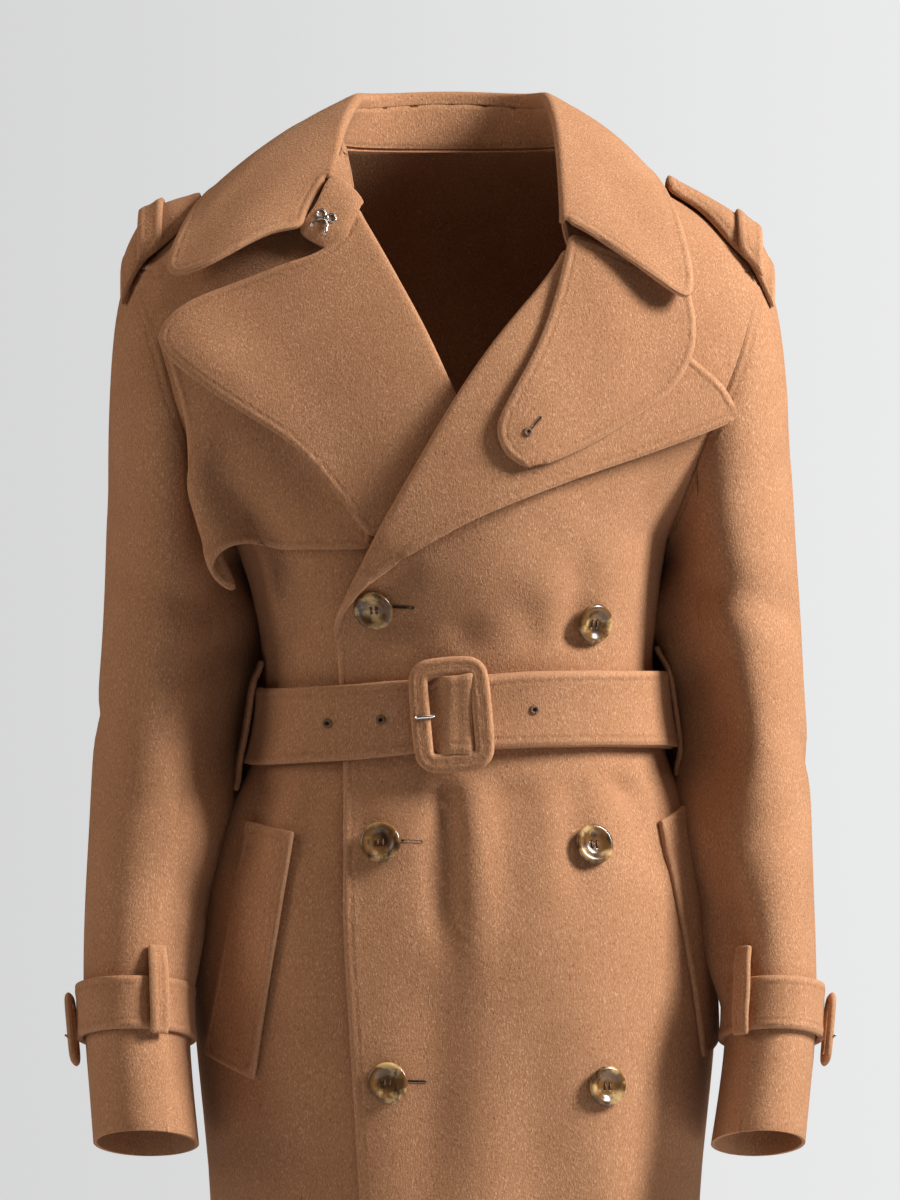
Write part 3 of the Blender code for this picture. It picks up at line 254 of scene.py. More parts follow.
class CoatClothSettings(bpy.types.PropertyGroup):
    """Wool of the coat: colours, nap and edges."""
    colour: FloatVectorProperty(
        name="Wool", description="Middle colour of the brushed wool", subtype="COLOR",
        default=(0.405, 0.194, 0.095), min=0.0, max=1.0)
    shade: FloatVectorProperty(
        name="Deep fibres", description="Colour between the raised fibres", subtype="COLOR",
        default=(0.190, 0.070, 0.027), min=0.0, max=1.0)
    pale: FloatVectorProperty(
        name="Pale fibres", description="Colour of the lightest fibres", subtype="COLOR",
        default=(0.612, 0.345, 0.196), min=0.0, max=1.0)
    rim: FloatProperty(
        name="Edge rounding", description="Radius of the turned edges", unit="LENGTH",
        default=0.9 * MM, min=0.0, max=2.0 * MM)
    puff: FloatProperty(
        name="Edge height", description="How far the band along a free edge stands out", unit="LENGTH",
        default=0.7 * MM, min=0.0, max=2.0 * MM)
    groove: FloatProperty(
        name="Edge seam", description="Distance of the sewn line from a free edge", unit="LENGTH",
        default=5.4 * MM, min=1.0 * MM, max=12.0 * MM)
    crease: FloatProperty(
        name="Crease strength", description="Factor on the depth of all creases",
        default=1.7, min=0.0, max=3.0)
    levels: IntProperty(
        name="Cloth detail", description="Subdivision levels of the cloth", default=2, min=0, max=3)


class CoatTrimSettings(bpy.types.PropertyGroup):
    """Buttons and metal fittings of the coat."""
    horn_dark: FloatVectorProperty(
        name="Dark horn", description="Darkest streaks of the buttons", subtype="COLOR",
        default=(0.030, 0.014, 0.006), min=0.0, max=1.0)
    horn_brown: FloatVectorProperty(
        name="Brown horn", description="Main colour of the buttons", subtype="COLOR",
        default=(0.150, 0.068, 0.020), min=0.0, max=1.0)
    horn_cream: FloatVectorProperty(
        name="Cream horn", description="Pale patches of the buttons", subtype="COLOR",
        default=(0.560, 0.360, 0.150), min=0.0, max=1.0)
    thread: FloatVectorProperty(
        name="Thread", description="Colour of the sewing thread", subtype="COLOR",
        default=(0.230, 0.115, 0.058), min=0.0, max=1.0)
    metal: FloatVectorProperty(
        name="Metal", description="Colour of prongs and hook", subtype="COLOR",
        default=(0.780, 0.780, 0.770), min=0.0, max=1.0)
    button: FloatProperty(
        name="Button diameter", description="Width of a front button", unit="LENGTH",
        default=28.0 * MM, min=10.0 * MM, max=40.0 * MM)


class CoatStageSettings(bpy.types.PropertyGroup):
    """Studio round the coat."""
    distance: FloatProperty(
        name="Camera distance", description="From the camera to the coat", unit="LENGTH",
        default=4.0, min=1.0)
    coverage: FloatProperty(
        name="Frame height", description="Height of the scene that the picture shows", unit="LENGTH",
        default=0.84, min=0.1)
    middle: FloatProperty(
        name="Frame middle", description="Height at the middle of the picture", unit="LENGTH",
        default=-0.3115)
    floor: FloatProperty(
        name="Floor height", description="Height of the floor below the shoulders", unit="LENGTH",
        default=-1.42)
    backdrop: FloatVectorProperty(
        name="Backdrop", description="Colour of the surroundings", subtype="COLOR",
        default=(0.740, 0.742, 0.745), min=0.0, max=1.0)
    ambient: FloatProperty(
        name="Room light", description="Brightness of the room round the coat", default=0.08, min=0.0)
    key: FloatProperty(
        name="Key light", description="Power of the main lamp in watts", default=196.0, min=0.0)
    fill: FloatProperty(
        name="Fill light", description="Power of the fill lamps in watts", default=30.0, min=0.0)


def smoothstep(low, high, value):
    """Soft step from 0 to 1 between two values, for numbers or arrays."""
    share = np.clip((value - low) / (high - low), 0.0, 1.0)
    return share * share * (3.0 - 2.0 * share)


def add_node(tree, kind, inputs=None, **values):
    """A shader node with its settings, values and links filled in."""
    item = tree.nodes.new(kind)
    for name, value in values.items():
        setattr(item, name, value)
    for name, value in (inputs or {}).items():
        if isinstance(value, bpy.types.NodeSocket):
            tree.links.new(value, item.inputs[name])
        else:
            item.inputs[name].default_value = value
    return item


def object_place(tree):
    """Object coordinates in a material or group."""
    return add_node(tree, "ShaderNodeTexCoord").outputs["Object"]


def maths(tree, operation, first, second=0.0):
    """Output of a math node."""
    return add_node(tree, "ShaderNodeMath", {0: first, 1: second}, operation=operation).outputs[0]


def remap(tree, value, low, high, to_low, to_high):
    """Output of a clamped smooth range."""
    item = add_node(
        tree, "ShaderNodeMapRange",
        {0: value, 1: low, 2: high, 3: to_low, 4: to_high}, interpolation_type="SMOOTHSTEP")
    return item.outputs[0]


def blend(tree, share, first, second):
    """Colour between two colours."""
    item = add_node(tree, "ShaderNodeMix", data_type="RGBA", blend_type="MIX")
    for socket, value in ((item.inputs[0], share), (item.inputs[6], first), (item.inputs[7], second)):
        if isinstance(value, bpy.types.NodeSocket):
            tree.links.new(value, socket)
        else:
            socket.default_value = value
    return item.outputs[2]


def noise(tree, place, scale, detail=2.0, rough=0.5, stretch=None):
    """Value of a noise at a place, stretched along an axis if asked."""
    if stretch:
        place = add_node(tree, "ShaderNodeMapping", {"Vector": place, "Scale": stretch}).outputs[0]
    item = add_node(
        tree, "ShaderNodeTexNoise",
        {"Vector": place, "Scale": scale, "Detail": detail, "Roughness": rough})
    return item.outputs[0]


def new_group(name, inputs, outputs):
    """An empty shader node group with named sockets."""
    group = bpy.data.node_groups.new(name, "ShaderNodeTree")
    for label, kind in inputs:
        group.interface.new_socket(label, in_out="INPUT", socket_type=kind)
    for label, kind in outputs:
        group.interface.new_socket(label, in_out="OUTPUT", socket_type=kind)
    return group, group.nodes.new("NodeGroupInput"), group.nodes.new("NodeGroupOutput")


def wool_group():
    """Colour and height of brushed wool, with the sewn line along free edges sunk as a groove and darkened
    with painted shade, and the pale fuzz at the edges painted as a highlight.
    """
    group, given, result = new_group(
        "Brushed wool",
        (("Wool", "NodeSocketColor"), ("Deep", "NodeSocketColor"), ("Pale", "NodeSocketColor"),
         ("Edge", "NodeSocketFloat"), ("Groove", "NodeSocketFloat")),
        (("Colour", "NodeSocketColor"), ("Height", "NodeSocketFloat")))
    place = object_place(group)
    bent = add_node(group, "ShaderNodeTexNoise", {"Vector": place, "Scale": 26.0, "Detail": 2.0})
    shift = add_node(group, "ShaderNodeVectorMath", {0: bent.outputs["Color"], 1: (0.008, 0.008, 0.008)},
                     operation="MULTIPLY").outputs[0]
    place = add_node(group, "ShaderNodeVectorMath", {0: place, 1: shift}, operation="ADD").outputs[0]
    light, height = 0.0, 0.0
    for row in NAP:
        value = noise(group, place, row["scale"], row["detail"], row["rough"], row["stretch"])
        tone = maths(group, "MULTIPLY", maths(group, "SUBTRACT", value, 0.5), row["tone"])
        light = maths(group, "ADD", light, tone)
        height = maths(group, "ADD", height, maths(group, "MULTIPLY", value, row["relief"]))
    deep = remap(group, light, -0.12, -1.0, 0.0, 1.0)
    bright = remap(group, light, 0.02, 0.80, 0.0, 1.0)
    colour = blend(group, deep, given.outputs["Wool"], given.outputs["Deep"])
    colour = blend(group, bright, colour, given.outputs["Pale"])
    away = maths(group, "ABSOLUTE", maths(group, "SUBTRACT", given.outputs["Edge"], given.outputs["Groove"]))
    line = remap(group, away, 0.0, LINE_HALF, 1.0, 0.0)
    broken = remap(group, noise(group, place, 190.0, 1.0), 0.35, 0.62, 0.45, 1.0)
    line = maths(group, "MULTIPLY", line, broken)
    # Painted shade: the groove of the sewn line is darkened towards the deep fibre colour.
    colour = blend(group, maths(group, "MULTIPLY", line, 0.16), colour, given.outputs["Deep"])
    # Painted highlight: the band along a free edge is lightened towards the pale fibre colour, as the rounded
    # edge and its fuzz catch the light.
    fuzz_and_highlight = remap(group, given.outputs["Edge"], *FUZZ_AND_HIGHLIGHT, 0.20, 0.0)
    colour = blend(group, fuzz_and_highlight, colour, given.outputs["Pale"])
    turn = remap(group, given.outputs["Edge"], 0.0, TURN, 1.0, 0.0)
    height = maths(group, "SUBTRACT", height, maths(group, "MULTIPLY", line, 0.9))
    height = maths(group, "SUBTRACT", height, maths(group, "MULTIPLY", turn, 1.6))
    group.links.new(colour, result.inputs["Colour"])
    group.links.new(height, result.inputs["Height"])
    return group


def new_material(name):
    """An empty node material with its Principled shader."""
    made = bpy.data.materials.new(name)
    made.use_nodes = True
    return made, made.node_tree, made.node_tree.nodes["Principled BSDF"]


def wool_material(settings):
    """Brushed camel wool."""
    made, tree, shader = new_material("Camel wool")
    cloth = add_node(tree, "ShaderNodeGroup", node_tree=wool_group())
    edge = add_node(tree, "ShaderNodeAttribute", attribute_name="edge_distance")
    tree.links.new(edge.outputs["Fac"], cloth.inputs["Edge"])
    cloth.inputs["Wool"].default_value = (*settings.colour, 1.0)
    cloth.inputs["Deep"].default_value = (*settings.shade, 1.0)
    cloth.inputs["Pale"].default_value = (*settings.pale, 1.0)
    cloth.inputs["Groove"].default_value = settings.groove
    bump = add_node(
        tree, "ShaderNodeBump", {"Strength": 0.6, "Distance": 0.0008, "Height": cloth.outputs["Height"]})
    tree.links.new(cloth.outputs["Colour"], shader.inputs["Base Color"])
    tree.links.new(bump.outputs[0], shader.inputs["Normal"])
    shader.inputs["Roughness"].default_value = 0.93
    shader.inputs["Specular IOR Level"].default_value = 0.18
    shader.inputs["Sheen Weight"].default_value = 0.16
    shader.inputs["Sheen Roughness"].default_value = 0.42
    shader.inputs["Sheen Tint"].default_value = (0.95, 0.66, 0.44, 1.0)
    return made


def horn_material(settings):
    """Polished horn with dark streaks and cream patches."""
    made, tree, shader = new_material("Mottled horn")
    place = object_place(tree)
    patch = noise(tree, place, 62.0, 3.0, 0.55, (1.0, 1.0, 1.5))
    streak = noise(tree, place, 150.0, 3.0, 0.6, (1.0, 1.0, 0.45))
    brown, cream = (*settings.horn_brown, 1.0), (*settings.horn_cream, 1.0)
    colour = blend(tree, remap(tree, patch, 0.46, 0.66, 0.0, 1.0), brown, cream)
    colour = blend(tree, remap(tree, streak, 0.50, 0.68, 0.0, 0.92), colour, (*settings.horn_dark, 1.0))
    tree.links.new(colour, shader.inputs["Base Color"])
    tree.links.new(remap(tree, streak, 0.3, 0.7, 0.16, 0.28), shader.inputs["Roughness"])
    shader.inputs["Coat Weight"].default_value = 0.25
    shader.inputs["Coat Roughness"].default_value = 0.12
    return made


def thread_material(settings):
    """Twisted sewing thread."""
    made, tree, shader = new_material("Sewing thread")
    place = object_place(tree)
    twist = noise(tree, place, 1400.0, 2.0)
    dark = tuple(0.45 * value for value in settings.thread)
    colour = blend(tree, remap(tree, twist, 0.35, 0.65, 0.0, 1.0), (*dark, 1.0), (*settings.thread, 1.0))
    bump = add_node(tree, "ShaderNodeBump", {"Strength": 0.5, "Distance": 0.0003, "Height": twist})
    tree.links.new(colour, shader.inputs["Base Color"])
    tree.links.new(bump.outputs[0], shader.inputs["Normal"])
    shader.inputs["Roughness"].default_value = 0.75
    return made


def hole_material():
    """Painted shade of the cloth deep in a buttonhole or eyelet."""
    made, tree, shader = new_material("Painted hole shade")
    place = object_place(tree)
    shade_grain = noise(tree, place, 900.0, 2.0)
    colour = blend(tree, shade_grain, (0.010, 0.004, 0.002, 1.0), (0.030, 0.014, 0.007, 1.0))
    tree.links.new(colour, shader.inputs["Base Color"])
    shader.inputs["Roughness"].default_value = 1.0
    return made


def metal_material(settings):
    """Polished silver wire with fine scratches."""
    made, tree, shader = new_material("Silver wire")
    place = object_place(tree)
    scratch = noise(tree, place, 900.0, 3.0, 0.6, (1.0, 1.0, 0.2))
    tree.links.new(remap(tree, scratch, 0.3, 0.7, 0.10, 0.24), shader.inputs["Roughness"])
    shader.inputs["Base Color"].default_value = (*settings.metal, 1.0)
    shader.inputs["Metallic"].default_value = 1.0
    return made


def shared(name, make):
    """The material of that name, made on first use."""
    return bpy.data.materials.get(name) or make()


def link(name, mesh, material):
    """A finished piece that moves with the coat."""
    piece = bpy.data.objects.new(name, mesh)
    bpy.context.scene.collection.objects.link(piece)
    mesh.materials.clear()
    mesh.materials.append(material)
    mesh.polygons.foreach_set("use_smooth", [True] * len(mesh.polygons))
    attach(piece, BODY)
    return piece


def points_of(mesh):
    """Places of a mesh's points as rows of an array."""
    flat = np.empty(len(mesh.vertices) * 3)
    mesh.vertices.foreach_get("co", flat)
    return flat.reshape(-1, 3)


def stroke(across, up, row):
    """Depth of one crease at given places: full along its middle, fading to its ends and sides."""
    start = np.array((row["x0"], row["z0"])) * MM
    run = np.array((row["x1"], row["z1"])) * MM - start
    length = np.linalg.norm(run)
    place = np.stack((across, up), axis=1) - start
    along = place @ run / length ** 2
    aside = (place[:, 0] * run[1] - place[:, 1] * run[0]) / length
    fade = smoothstep(-0.12, 0.22, along) * (1.0 - smoothstep(0.70, 1.15, along))
    return row["depth"] * MM * np.exp(-(aside / (row["width"] * MM)) ** 2) * fade


def outward(points):
    """Level direction out from the wearer at each point of the body."""
    across, deep = points[:, 0] / BODY_HALF_WIDTH ** 2, points[:, 1] / BODY_HALF_DEPTH ** 2
    out = np.stack((across, deep, np.zeros(len(points))), axis=1)
    return out / np.maximum(np.linalg.norm(out, axis=1, keepdims=True), 1e-6)


def turned_back(points, node):
    """Which points of a front lie on its turned-back lapel, with the front itself behind them."""
    tree = form_tree(node)
    behind = Vector((0.0, 1.0, 0.0))
    starts = [Vector(point) + behind * LAPEL_WALL for point in points]
    return np.array([tree.ray_cast(start, behind, LAPEL_DEPTH)[0] is not None for start in starts])


def hollow_shift(points, lapel, strength):
    """Deepens the cloth below the right lapel and lifts the edge of the lapel off it."""
    across, _, up = points.T
    depth = np.where(lapel, stroke(across, up, LAPEL_LIFT), stroke(across, up, LAPEL_HOLLOW))
    return outward(points) * (depth * strength)[:, None]


def storm_shift(points, strength):
    """The storm flap sinks with the cloth below it."""
    return hollow_shift(points, np.zeros(len(points), dtype=bool), strength)


def right_front_shift(points, strength):
    """Creases of the right front, with the hollow below its lapel."""
    return body_shift(points, strength) + hollow_shift(points, turned_back(points, "front_right"), strength)


def welt_shift(points, strength):
    """A welt follows the body and is pressed flat on to it."""
    return body_shift(points, strength) - outward(points) * WELT_PRESS


def loop_shift(points, strength):
    """Draws the foot of a cuff loop up to the foot of its strap."""
    moved = np.zeros_like(points)
    moved[:, 2] = (points[:, 2].max() - points[:, 2]) * LOOP_DRAW
    return moved * min(strength, 1.0)


def body_shift(points, strength):
    """How far the creases of the body move each point, out from the wearer."""
    across, deep, up = points.T
    depth = np.zeros(len(points))
    ahead = smoothstep(*SIDE_FADE, -deep)
    behind = smoothstep(*SIDE_FADE, deep)
    for row in FRONT_CREASES:
        depth += ahead * stroke(across, up, row)
    for row in BACK_CREASES:
        depth += behind * stroke(across, up, row)
    clear = smoothstep(*BELT_ABOVE, up) + 1.0 - smoothstep(*BELT_BELOW, up)
    return outward(points) * (depth * clear * strength)[:, None]


def sleeve_line(word):
    """Middle of a sleeve by height: heights and the places beside them."""
    both = [points_of(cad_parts["sleeve_%s_%s" % (word, half)].data) for half in ("top", "under")]
    points = np.concatenate(both)
    heights = np.linspace(SLEEVE_FOOT, SLEEVE_TOP, SLEEVE_STEPS)
    middles = []
    for height in heights:
        near = points[np.abs(points[:, 2] - height) < SLEEVE_BAND, :2]
        middles.append((near.min(axis=0) + near.max(axis=0)) / 2)
    return heights, np.array(middles)


def sleeve_shift(points, word, strength):
    """How far the creases of a sleeve move each point, out from its middle."""
    side = -1 if word == "right" else 1
    heights, middles = sleeve_line(word)
    up = points[:, 2]
    away_x = points[:, 0] - np.interp(up, heights, middles[:, 0])
    away_y = points[:, 1] - np.interp(up, heights, middles[:, 1])
    angle = np.degrees(np.arctan2(away_x * side, -away_y))
    depth = np.zeros(len(points))
    for row in SLEEVE_CREASES:
        if row["side"] != side:
            continue
        turn = (angle - row["angle"] + 180.0) % 360.0 - 180.0
        share = turn / row["reach"]
        level = (row["height"] + row["rise"] * share) * MM
        fade = 1.0 - smoothstep(0.35, 1.0, np.abs(share))
        depth += row["depth"] * MM * fade * np.exp(-((up - level) / (row["width"] * MM)) ** 2)
    out = np.stack((away_x, away_y, np.zeros(len(points))), axis=1)
    out /= np.maximum(np.linalg.norm(out, axis=1, keepdims=True), 1e-6)
    inner = smoothstep(0.35, 0.95, -out[:, 0] * side)
    beside = smoothstep(*TUCK_FOOT, up) * (1.0 - smoothstep(*TUCK_TOP, up))
    drawn = TUCK[side] * inner * beside
    tuck = np.stack((-side * drawn, 0.5 * drawn, np.zeros(len(points))), axis=1)
    return out * (depth * strength)[:, None] + tuck


def strap_shift(points, strength):
    """Draws the end of a shoulder strap down on to the sleeve head."""
    reach = np.abs(points[:, 0])
    share = smoothstep(*STRAP_END, reach)
    moved = np.zeros_like(points)
    moved[:, 0] = -np.sign(points[:, 0]) * STRAP_IN * share
    moved[:, 2] = -STRAP_DOWN * share
    return moved * min(strength, 1.0)


def tab_shift(points, strength):
    """Spreads the end of the collar stand and sinks its rim into the collar and the lapel."""
    middle = (points.min(axis=0) + points.max(axis=0)) / 2
    away = points - middle
    away[:, 1] = 0.0
    reach = np.linalg.norm(away, axis=1, keepdims=True)
    share = smoothstep(0.40, 1.0, reach / reach.max())
    moved = away / np.maximum(reach, 1e-6) * (TAB_SPREAD * share)
    moved[:, 1] = TAB_SINK * share[:, 0]
    return moved * min(strength, 1.0)


def belt_shift(points, strength):
    """Fills the buckle's window with the belt where it is folded over the bar."""
    across, deep, up = points.T
    share = smoothstep(*FOLD_LEFT, across) * (1.0 - smoothstep(*FOLD_RIGHT, across)) * (deep < FOLD_FRONT)
    moved = np.zeros_like(points)
    moved[:, 1] = -FOLD_LIFT * share * smoothstep(*FOLD_RISE, across)
    moved[:, 2] = FOLD_SPREAD * share * (up - FOLD_MIDDLE)
    return moved * min(strength, 1.0)


def no_shift(points, strength):
    """Pieces that stay as they were sewn."""
    return np.zeros_like(points) * strength


SHIFTS = {
    "back": body_shift,
    "front_left": body_shift,
    "front_right": right_front_shift,
    "pocket_welt_left": welt_shift,
    "pocket_welt_right": body_shift,
    "storm_flap": storm_shift,
    "cuff_loop_left": loop_shift,
    "cuff_loop_right": loop_shift,
    "epaulette_left": strap_shift,
    "epaulette_right": strap_shift,
    "collar_stand_end": tab_shift,
    "belt": belt_shift,
}


def shift_for(node):
    """The function that moves the points of a cloth piece."""
    if node.startswith("sleeve"):
        return lambda points, strength: sleeve_shift(points, node.split("_")[1], strength)
    return SHIFTS.get(node, no_shift)


def cut_edges(work):
    """Edges of a mesh under construction along which the cloth is cut."""
    return [edge for edge in work.edges if edge.is_manifold and edge.calc_face_angle(0.0) > SHARP]


def smooth_copy(node, levels):
    """A node's form as a fine smooth mesh that keeps its cut edges."""
    work = bmesh.new()
    work.from_mesh(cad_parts[node].data)
    bmesh.ops.remove_doubles(work, verts=work.verts, dist=MERGE)
    bmesh.ops.join_triangles(
        work, faces=work.faces, angle_face_threshold=math.radians(30.0),
        angle_shape_threshold=math.radians(180.0))
    crease = work.edges.layers.float.new("crease_edge")
    shortest = CORNER if node in SOFT_CORNERS else 0.0
    sewn = [form_tree(other) for other in SEWN.get(node, ())]
    for edge in cut_edges(work):
        middle = edge.verts[0].co.lerp(edge.verts[1].co, 0.5)
        in_seam = any(tree.find_nearest(middle, SEAM_REACH)[0] is not None for tree in sewn)
        if edge.calc_length() > shortest or in_seam:
            edge[crease] = 1.0
    mesh = bpy.data.meshes.new(node + "_form")
    work.to_mesh(mesh)
    work.free()
    form = bpy.data.objects.new(node + "_form", mesh)
    bpy.context.scene.collection.objects.link(form)
    smooth = form.modifiers.new("Smooth", "SUBSURF")
    smooth.levels = levels
    smooth.render_levels = levels
    view = bpy.context.evaluated_depsgraph_get()
    fine = bpy.data.meshes.new_from_object(form.evaluated_get(view), depsgraph=view)
    bpy.data.objects.remove(form)
    bpy.data.meshes.remove(mesh)
    return fine


def edge_samples(mesh):
    """Places along the cut edges of a mesh."""
    work = bmesh.new()
    work.from_mesh(mesh)
    samples = []
    for edge in cut_edges(work):
        first, second = (corner.co for corner in edge.verts)
        samples.extend(first.lerp(second, share) for share in (0.0, 0.25, 0.5, 0.75))
    work.free()
    return samples


def edge_points(mesh):
    """Numbers of the points on the cut edges of a mesh."""
    work = bmesh.new()
    work.from_mesh(mesh)
    found = sorted({corner.index for edge in cut_edges(work) for corner in edge.verts})
    work.free()
    return found


def form_tree(node):
    """Search tree of a node's solid."""
    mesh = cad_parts[node].data
    places = [corner.co for corner in mesh.vertices]
    return BVHTree.FromPolygons(places, [face.vertices for face in mesh.polygons])


def distances(points, samples):
    """Distance of each point from the nearest of some places."""
    if not samples:
        return np.full(len(points), 1.0)
    tree = KDTree(len(samples))
    for index, place in enumerate(samples):
        tree.insert(place, index)
    tree.balance()
    return np.array([tree.find(point)[2] for point in points])


def mark_edges(mesh, node):
    """Stores how far each point lies from a free edge; returns its distance from the armhole seam."""
    points = points_of(mesh)
    free = edge_samples(mesh)
    armhole = []
    for other in SEWN.get(node, ()):
        tree = form_tree(other)
        sewn = [tree.find_nearest(place, SEAM_REACH)[0] is not None for place in free]
        if not other.startswith("sleeve"):
            armhole.extend(place for place, held in zip(free, sewn) if held)
        free = [place for place, held in zip(free, sewn) if not held]
    layer = mesh.attributes.new("edge_distance", "FLOAT", "POINT")
    if node in PLAIN_EDGES:
        free = armhole if node.startswith("sleeve") else []
    layer.data.foreach_set("value", distances(points, free))
    return distances(points, armhole)


def seam_close(mesh, node):
    """Moves the edges of a piece up to the pieces that it is sewn to."""
    others, share = CLOSED[node]
    trees = [form_tree(other) for other in others]
    points = points_of(mesh)
    moved = np.zeros_like(points)
    for index in edge_points(mesh):
        place = Vector(points[index])
        hits = [tree.find_nearest(place, SEAM_REACH) for tree in trees]
        hits = [hit for hit in hits if hit[0] is not None]
        if hits:
            nearest = min(hits, key=lambda hit: hit[3])
            moved[index] = (nearest[0] - place) * share
    return moved


def raised_rim(mesh, settings):
    """Moves the band along free edges out a little, as a turned and pressed edge stands."""
    size = len(mesh.vertices)
    near = np.empty(size)
    mesh.attributes["edge_distance"].data.foreach_get("value", near)
    flat = np.empty(size * 3)
    mesh.vertex_normals.foreach_get("vector", flat)
    band = 1.0 - smoothstep(0.7 * settings.groove, 1.5 * settings.groove, near)
    return flat.reshape(-1, 3) * (settings.puff * band)[:, None]


def make_cloth(node, settings):
    """One piece of wool on its solid's form, creased and with rounded edges."""
    mesh = smooth_copy(node, settings.levels)
    armhole = mark_edges(mesh, node)
    points = points_of(mesh)
    moved = points + shift_for(node)(points, settings.crease)
    if node.startswith("sleeve"):
        moved[:, 0] -= np.sign(points[:, 0]) * HEAD_CLOSE * (1.0 - smoothstep(0.0, HEAD_WIDTH, armhole))
    if node in CLOSED:
        moved += seam_close(mesh, node)
    if node not in PLAIN_EDGES:
        moved += raised_rim(mesh, settings)
    mesh.vertices.foreach_set("co", moved.ravel())
    mesh.update()
    piece = link("wool_" + node, mesh, shared("Camel wool", lambda: wool_material(settings)))
    rounding = piece.modifiers.new("Turned edge", "BEVEL")
    rounding.width = settings.rim * (PLAIN_ROUND if node in PLAIN_EDGES else 1.0)
    rounding.segments = 2
    rounding.profile = 0.5
    rounding.limit_method = "ANGLE"
    rounding.angle_limit = SHARP
    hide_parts(node)
    return piece


def make_sheets(context, words):
    """All cloth pieces whose names start with one of the words."""
    settings = context.scene.coat_cloth
    made = 0
    for row in CLOTH:
        if not row["node"].startswith(words):
            continue
        piece = make_cloth(row["node"], settings)
        made += 1
    if not made:
        raise RuntimeError("No cloth piece is named %s" % (words,))
    return {"FINISHED"}


def seat(name, across, up):
    """Place and outward direction on the front of a finished piece, seen from the front."""
    piece = bpy.data.objects[name]
    view = bpy.context.evaluated_depsgraph_get()
    tree = BVHTree.FromObject(piece, view)
    place, normal, _, _ = tree.ray_cast(Vector((across, -1.0, up)), Vector((0.0, 1.0, 0.0)))
    if place is None:
        raise RuntimeError("Nothing of %s lies at %.3f, %.3f" % (name, across, up))
    if normal.y > 0:
        normal = -normal
    return place, normal


def tube(work, path, radius, closed):
    """Adds a round tube along a path to a mesh under construction."""
    count = len(path)
    rings = []
    for index, place in enumerate(path):
        if closed:
            ahead = path[(index + 1) % count] - path[index - 1]
        else:
            ahead = path[min(index + 1, count - 1)] - path[max(index - 1, 0)]
        ahead.normalize()
        first = (first - ahead * first.dot(ahead)).normalized() if rings else ahead.orthogonal().normalized()
        second = ahead.cross(first)
        ring = []
        for step in range(TUBE_SIDES):
            angle = 2.0 * math.pi * step / TUBE_SIDES
            ring.append(work.verts.new(place + (first * math.cos(angle) + second * math.sin(angle)) * radius))
        rings.append(ring)
    spans = count if closed else count - 1
    for index in range(spans):
        here, there = rings[index], rings[(index + 1) % count]
        for step in range(TUBE_SIDES):
            after = (step + 1) % TUBE_SIDES
            work.faces.new((here[step], here[after], there[after], there[step]))
    if not closed:
        work.faces.new(list(reversed(rings[0])))
        work.faces.new(rings[-1])


def finish_mesh(work, name):
    """A mesh with outward faces from one under construction."""
    bmesh.ops.recalc_face_normals(work, faces=work.faces)
    mesh = bpy.data.meshes.new(name)
    work.to_mesh(mesh)
    work.free()
    return mesh


# Profile of a front button from the middle of its dish, over the rim, to the middle of its back.
BUTTON_PROFILE = table("reach height", (
    (0.00, 0.115), (0.30, 0.118), (0.42, 0.135), (0.54, 0.185), (0.66, 0.255), (0.76, 0.300), (0.85, 0.310),
    (0.93, 0.285), (0.985, 0.225), (1.00, 0.160), (0.98, 0.095), (0.91, 0.040), (0.78, 0.008), (0.40, 0.000),
    (0.00, 0.000),
))
# Holes of a button, its dish and its thread; all but the last two as shares of its radius.
HOLE_REACH = 0.135
HOLE_RADIUS = 0.068
DISH_HEIGHT = 0.118
THREAD_FOOT = 0.02
THREAD_LIFT = 0.3 * MM
THREAD_RADIUS = 0.55 * MM


def button_frame(node, strength):
    """Middle, outward direction and upward direction of a button, moved with the cloth under it."""
    points = points_of(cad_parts[node].data)
    middle = (points.min(axis=0) + points.max(axis=0)) / 2
    _, _, axes = np.linalg.svd(points - points.mean(axis=0), full_matrices=False)
    out = Vector(axes[2])
    if out.y > 0:
        out.negate()
    low = min((Vector(place) - Vector(middle)).dot(out) for place in points)
    foot = Vector(middle) + out * low + Vector(body_shift(middle[None, :], strength)[0])
    up = (Vector((0, 0, 1)) - out * out.z).normalized()
    return foot, out, up


def turned_button(radius):
    """A dished button with four holes, lying on the XY plane."""
    work = bmesh.new()
    line = [work.verts.new((row["reach"] * radius, 0.0, row["height"] * radius)) for row in BUTTON_PROFILE]
    edges = [work.edges.new(pair) for pair in zip(line, line[1:])]
    bmesh.ops.spin(
        work, geom=line + edges, cent=(0, 0, 0), axis=(0, 0, 1), angle=2 * math.pi, steps=56, use_merge=True)
    bmesh.ops.remove_doubles(work, verts=work.verts, dist=MERGE)
    body = bpy.data.objects.new("button_body", finish_mesh(work, "button_body"))
    work = bmesh.new()
    wide = HOLE_RADIUS * radius
    reach = HOLE_REACH * radius
    for across, up in ((-reach, -reach), (reach, -reach), (reach, reach), (-reach, reach)):
        bmesh.ops.create_cone(
            work, cap_ends=True, segments=14, radius1=wide, radius2=wide, depth=radius,
            matrix=Matrix.Translation((across, up, 0.0)))
    cutter = bpy.data.objects.new("button_cutter", finish_mesh(work, "button_cutter"))
    for item in (body, cutter):
        bpy.context.scene.collection.objects.link(item)
    cut = body.modifiers.new("Holes", "BOOLEAN")
    cut.object = cutter
    cut.operation = "DIFFERENCE"
    cut.solver = "EXACT"
    view = bpy.context.evaluated_depsgraph_get()
    mesh = bpy.data.meshes.new_from_object(body.evaluated_get(view), depsgraph=view)
    for item in (body, cutter):
        old = item.data
        bpy.data.objects.remove(item)
        bpy.data.meshes.remove(old)
    return mesh


def stadium(length, half, steps):
    """Points of a slot's outline with round ends, middle at zero."""
    path = []
    for end in (1, -1):
        for step in range(steps + 1):
            angle = math.pi * (step / steps - 0.5)
            path.append((end * (length / 2 - half + half * math.cos(angle)), end * half * math.sin(angle)))
    return path


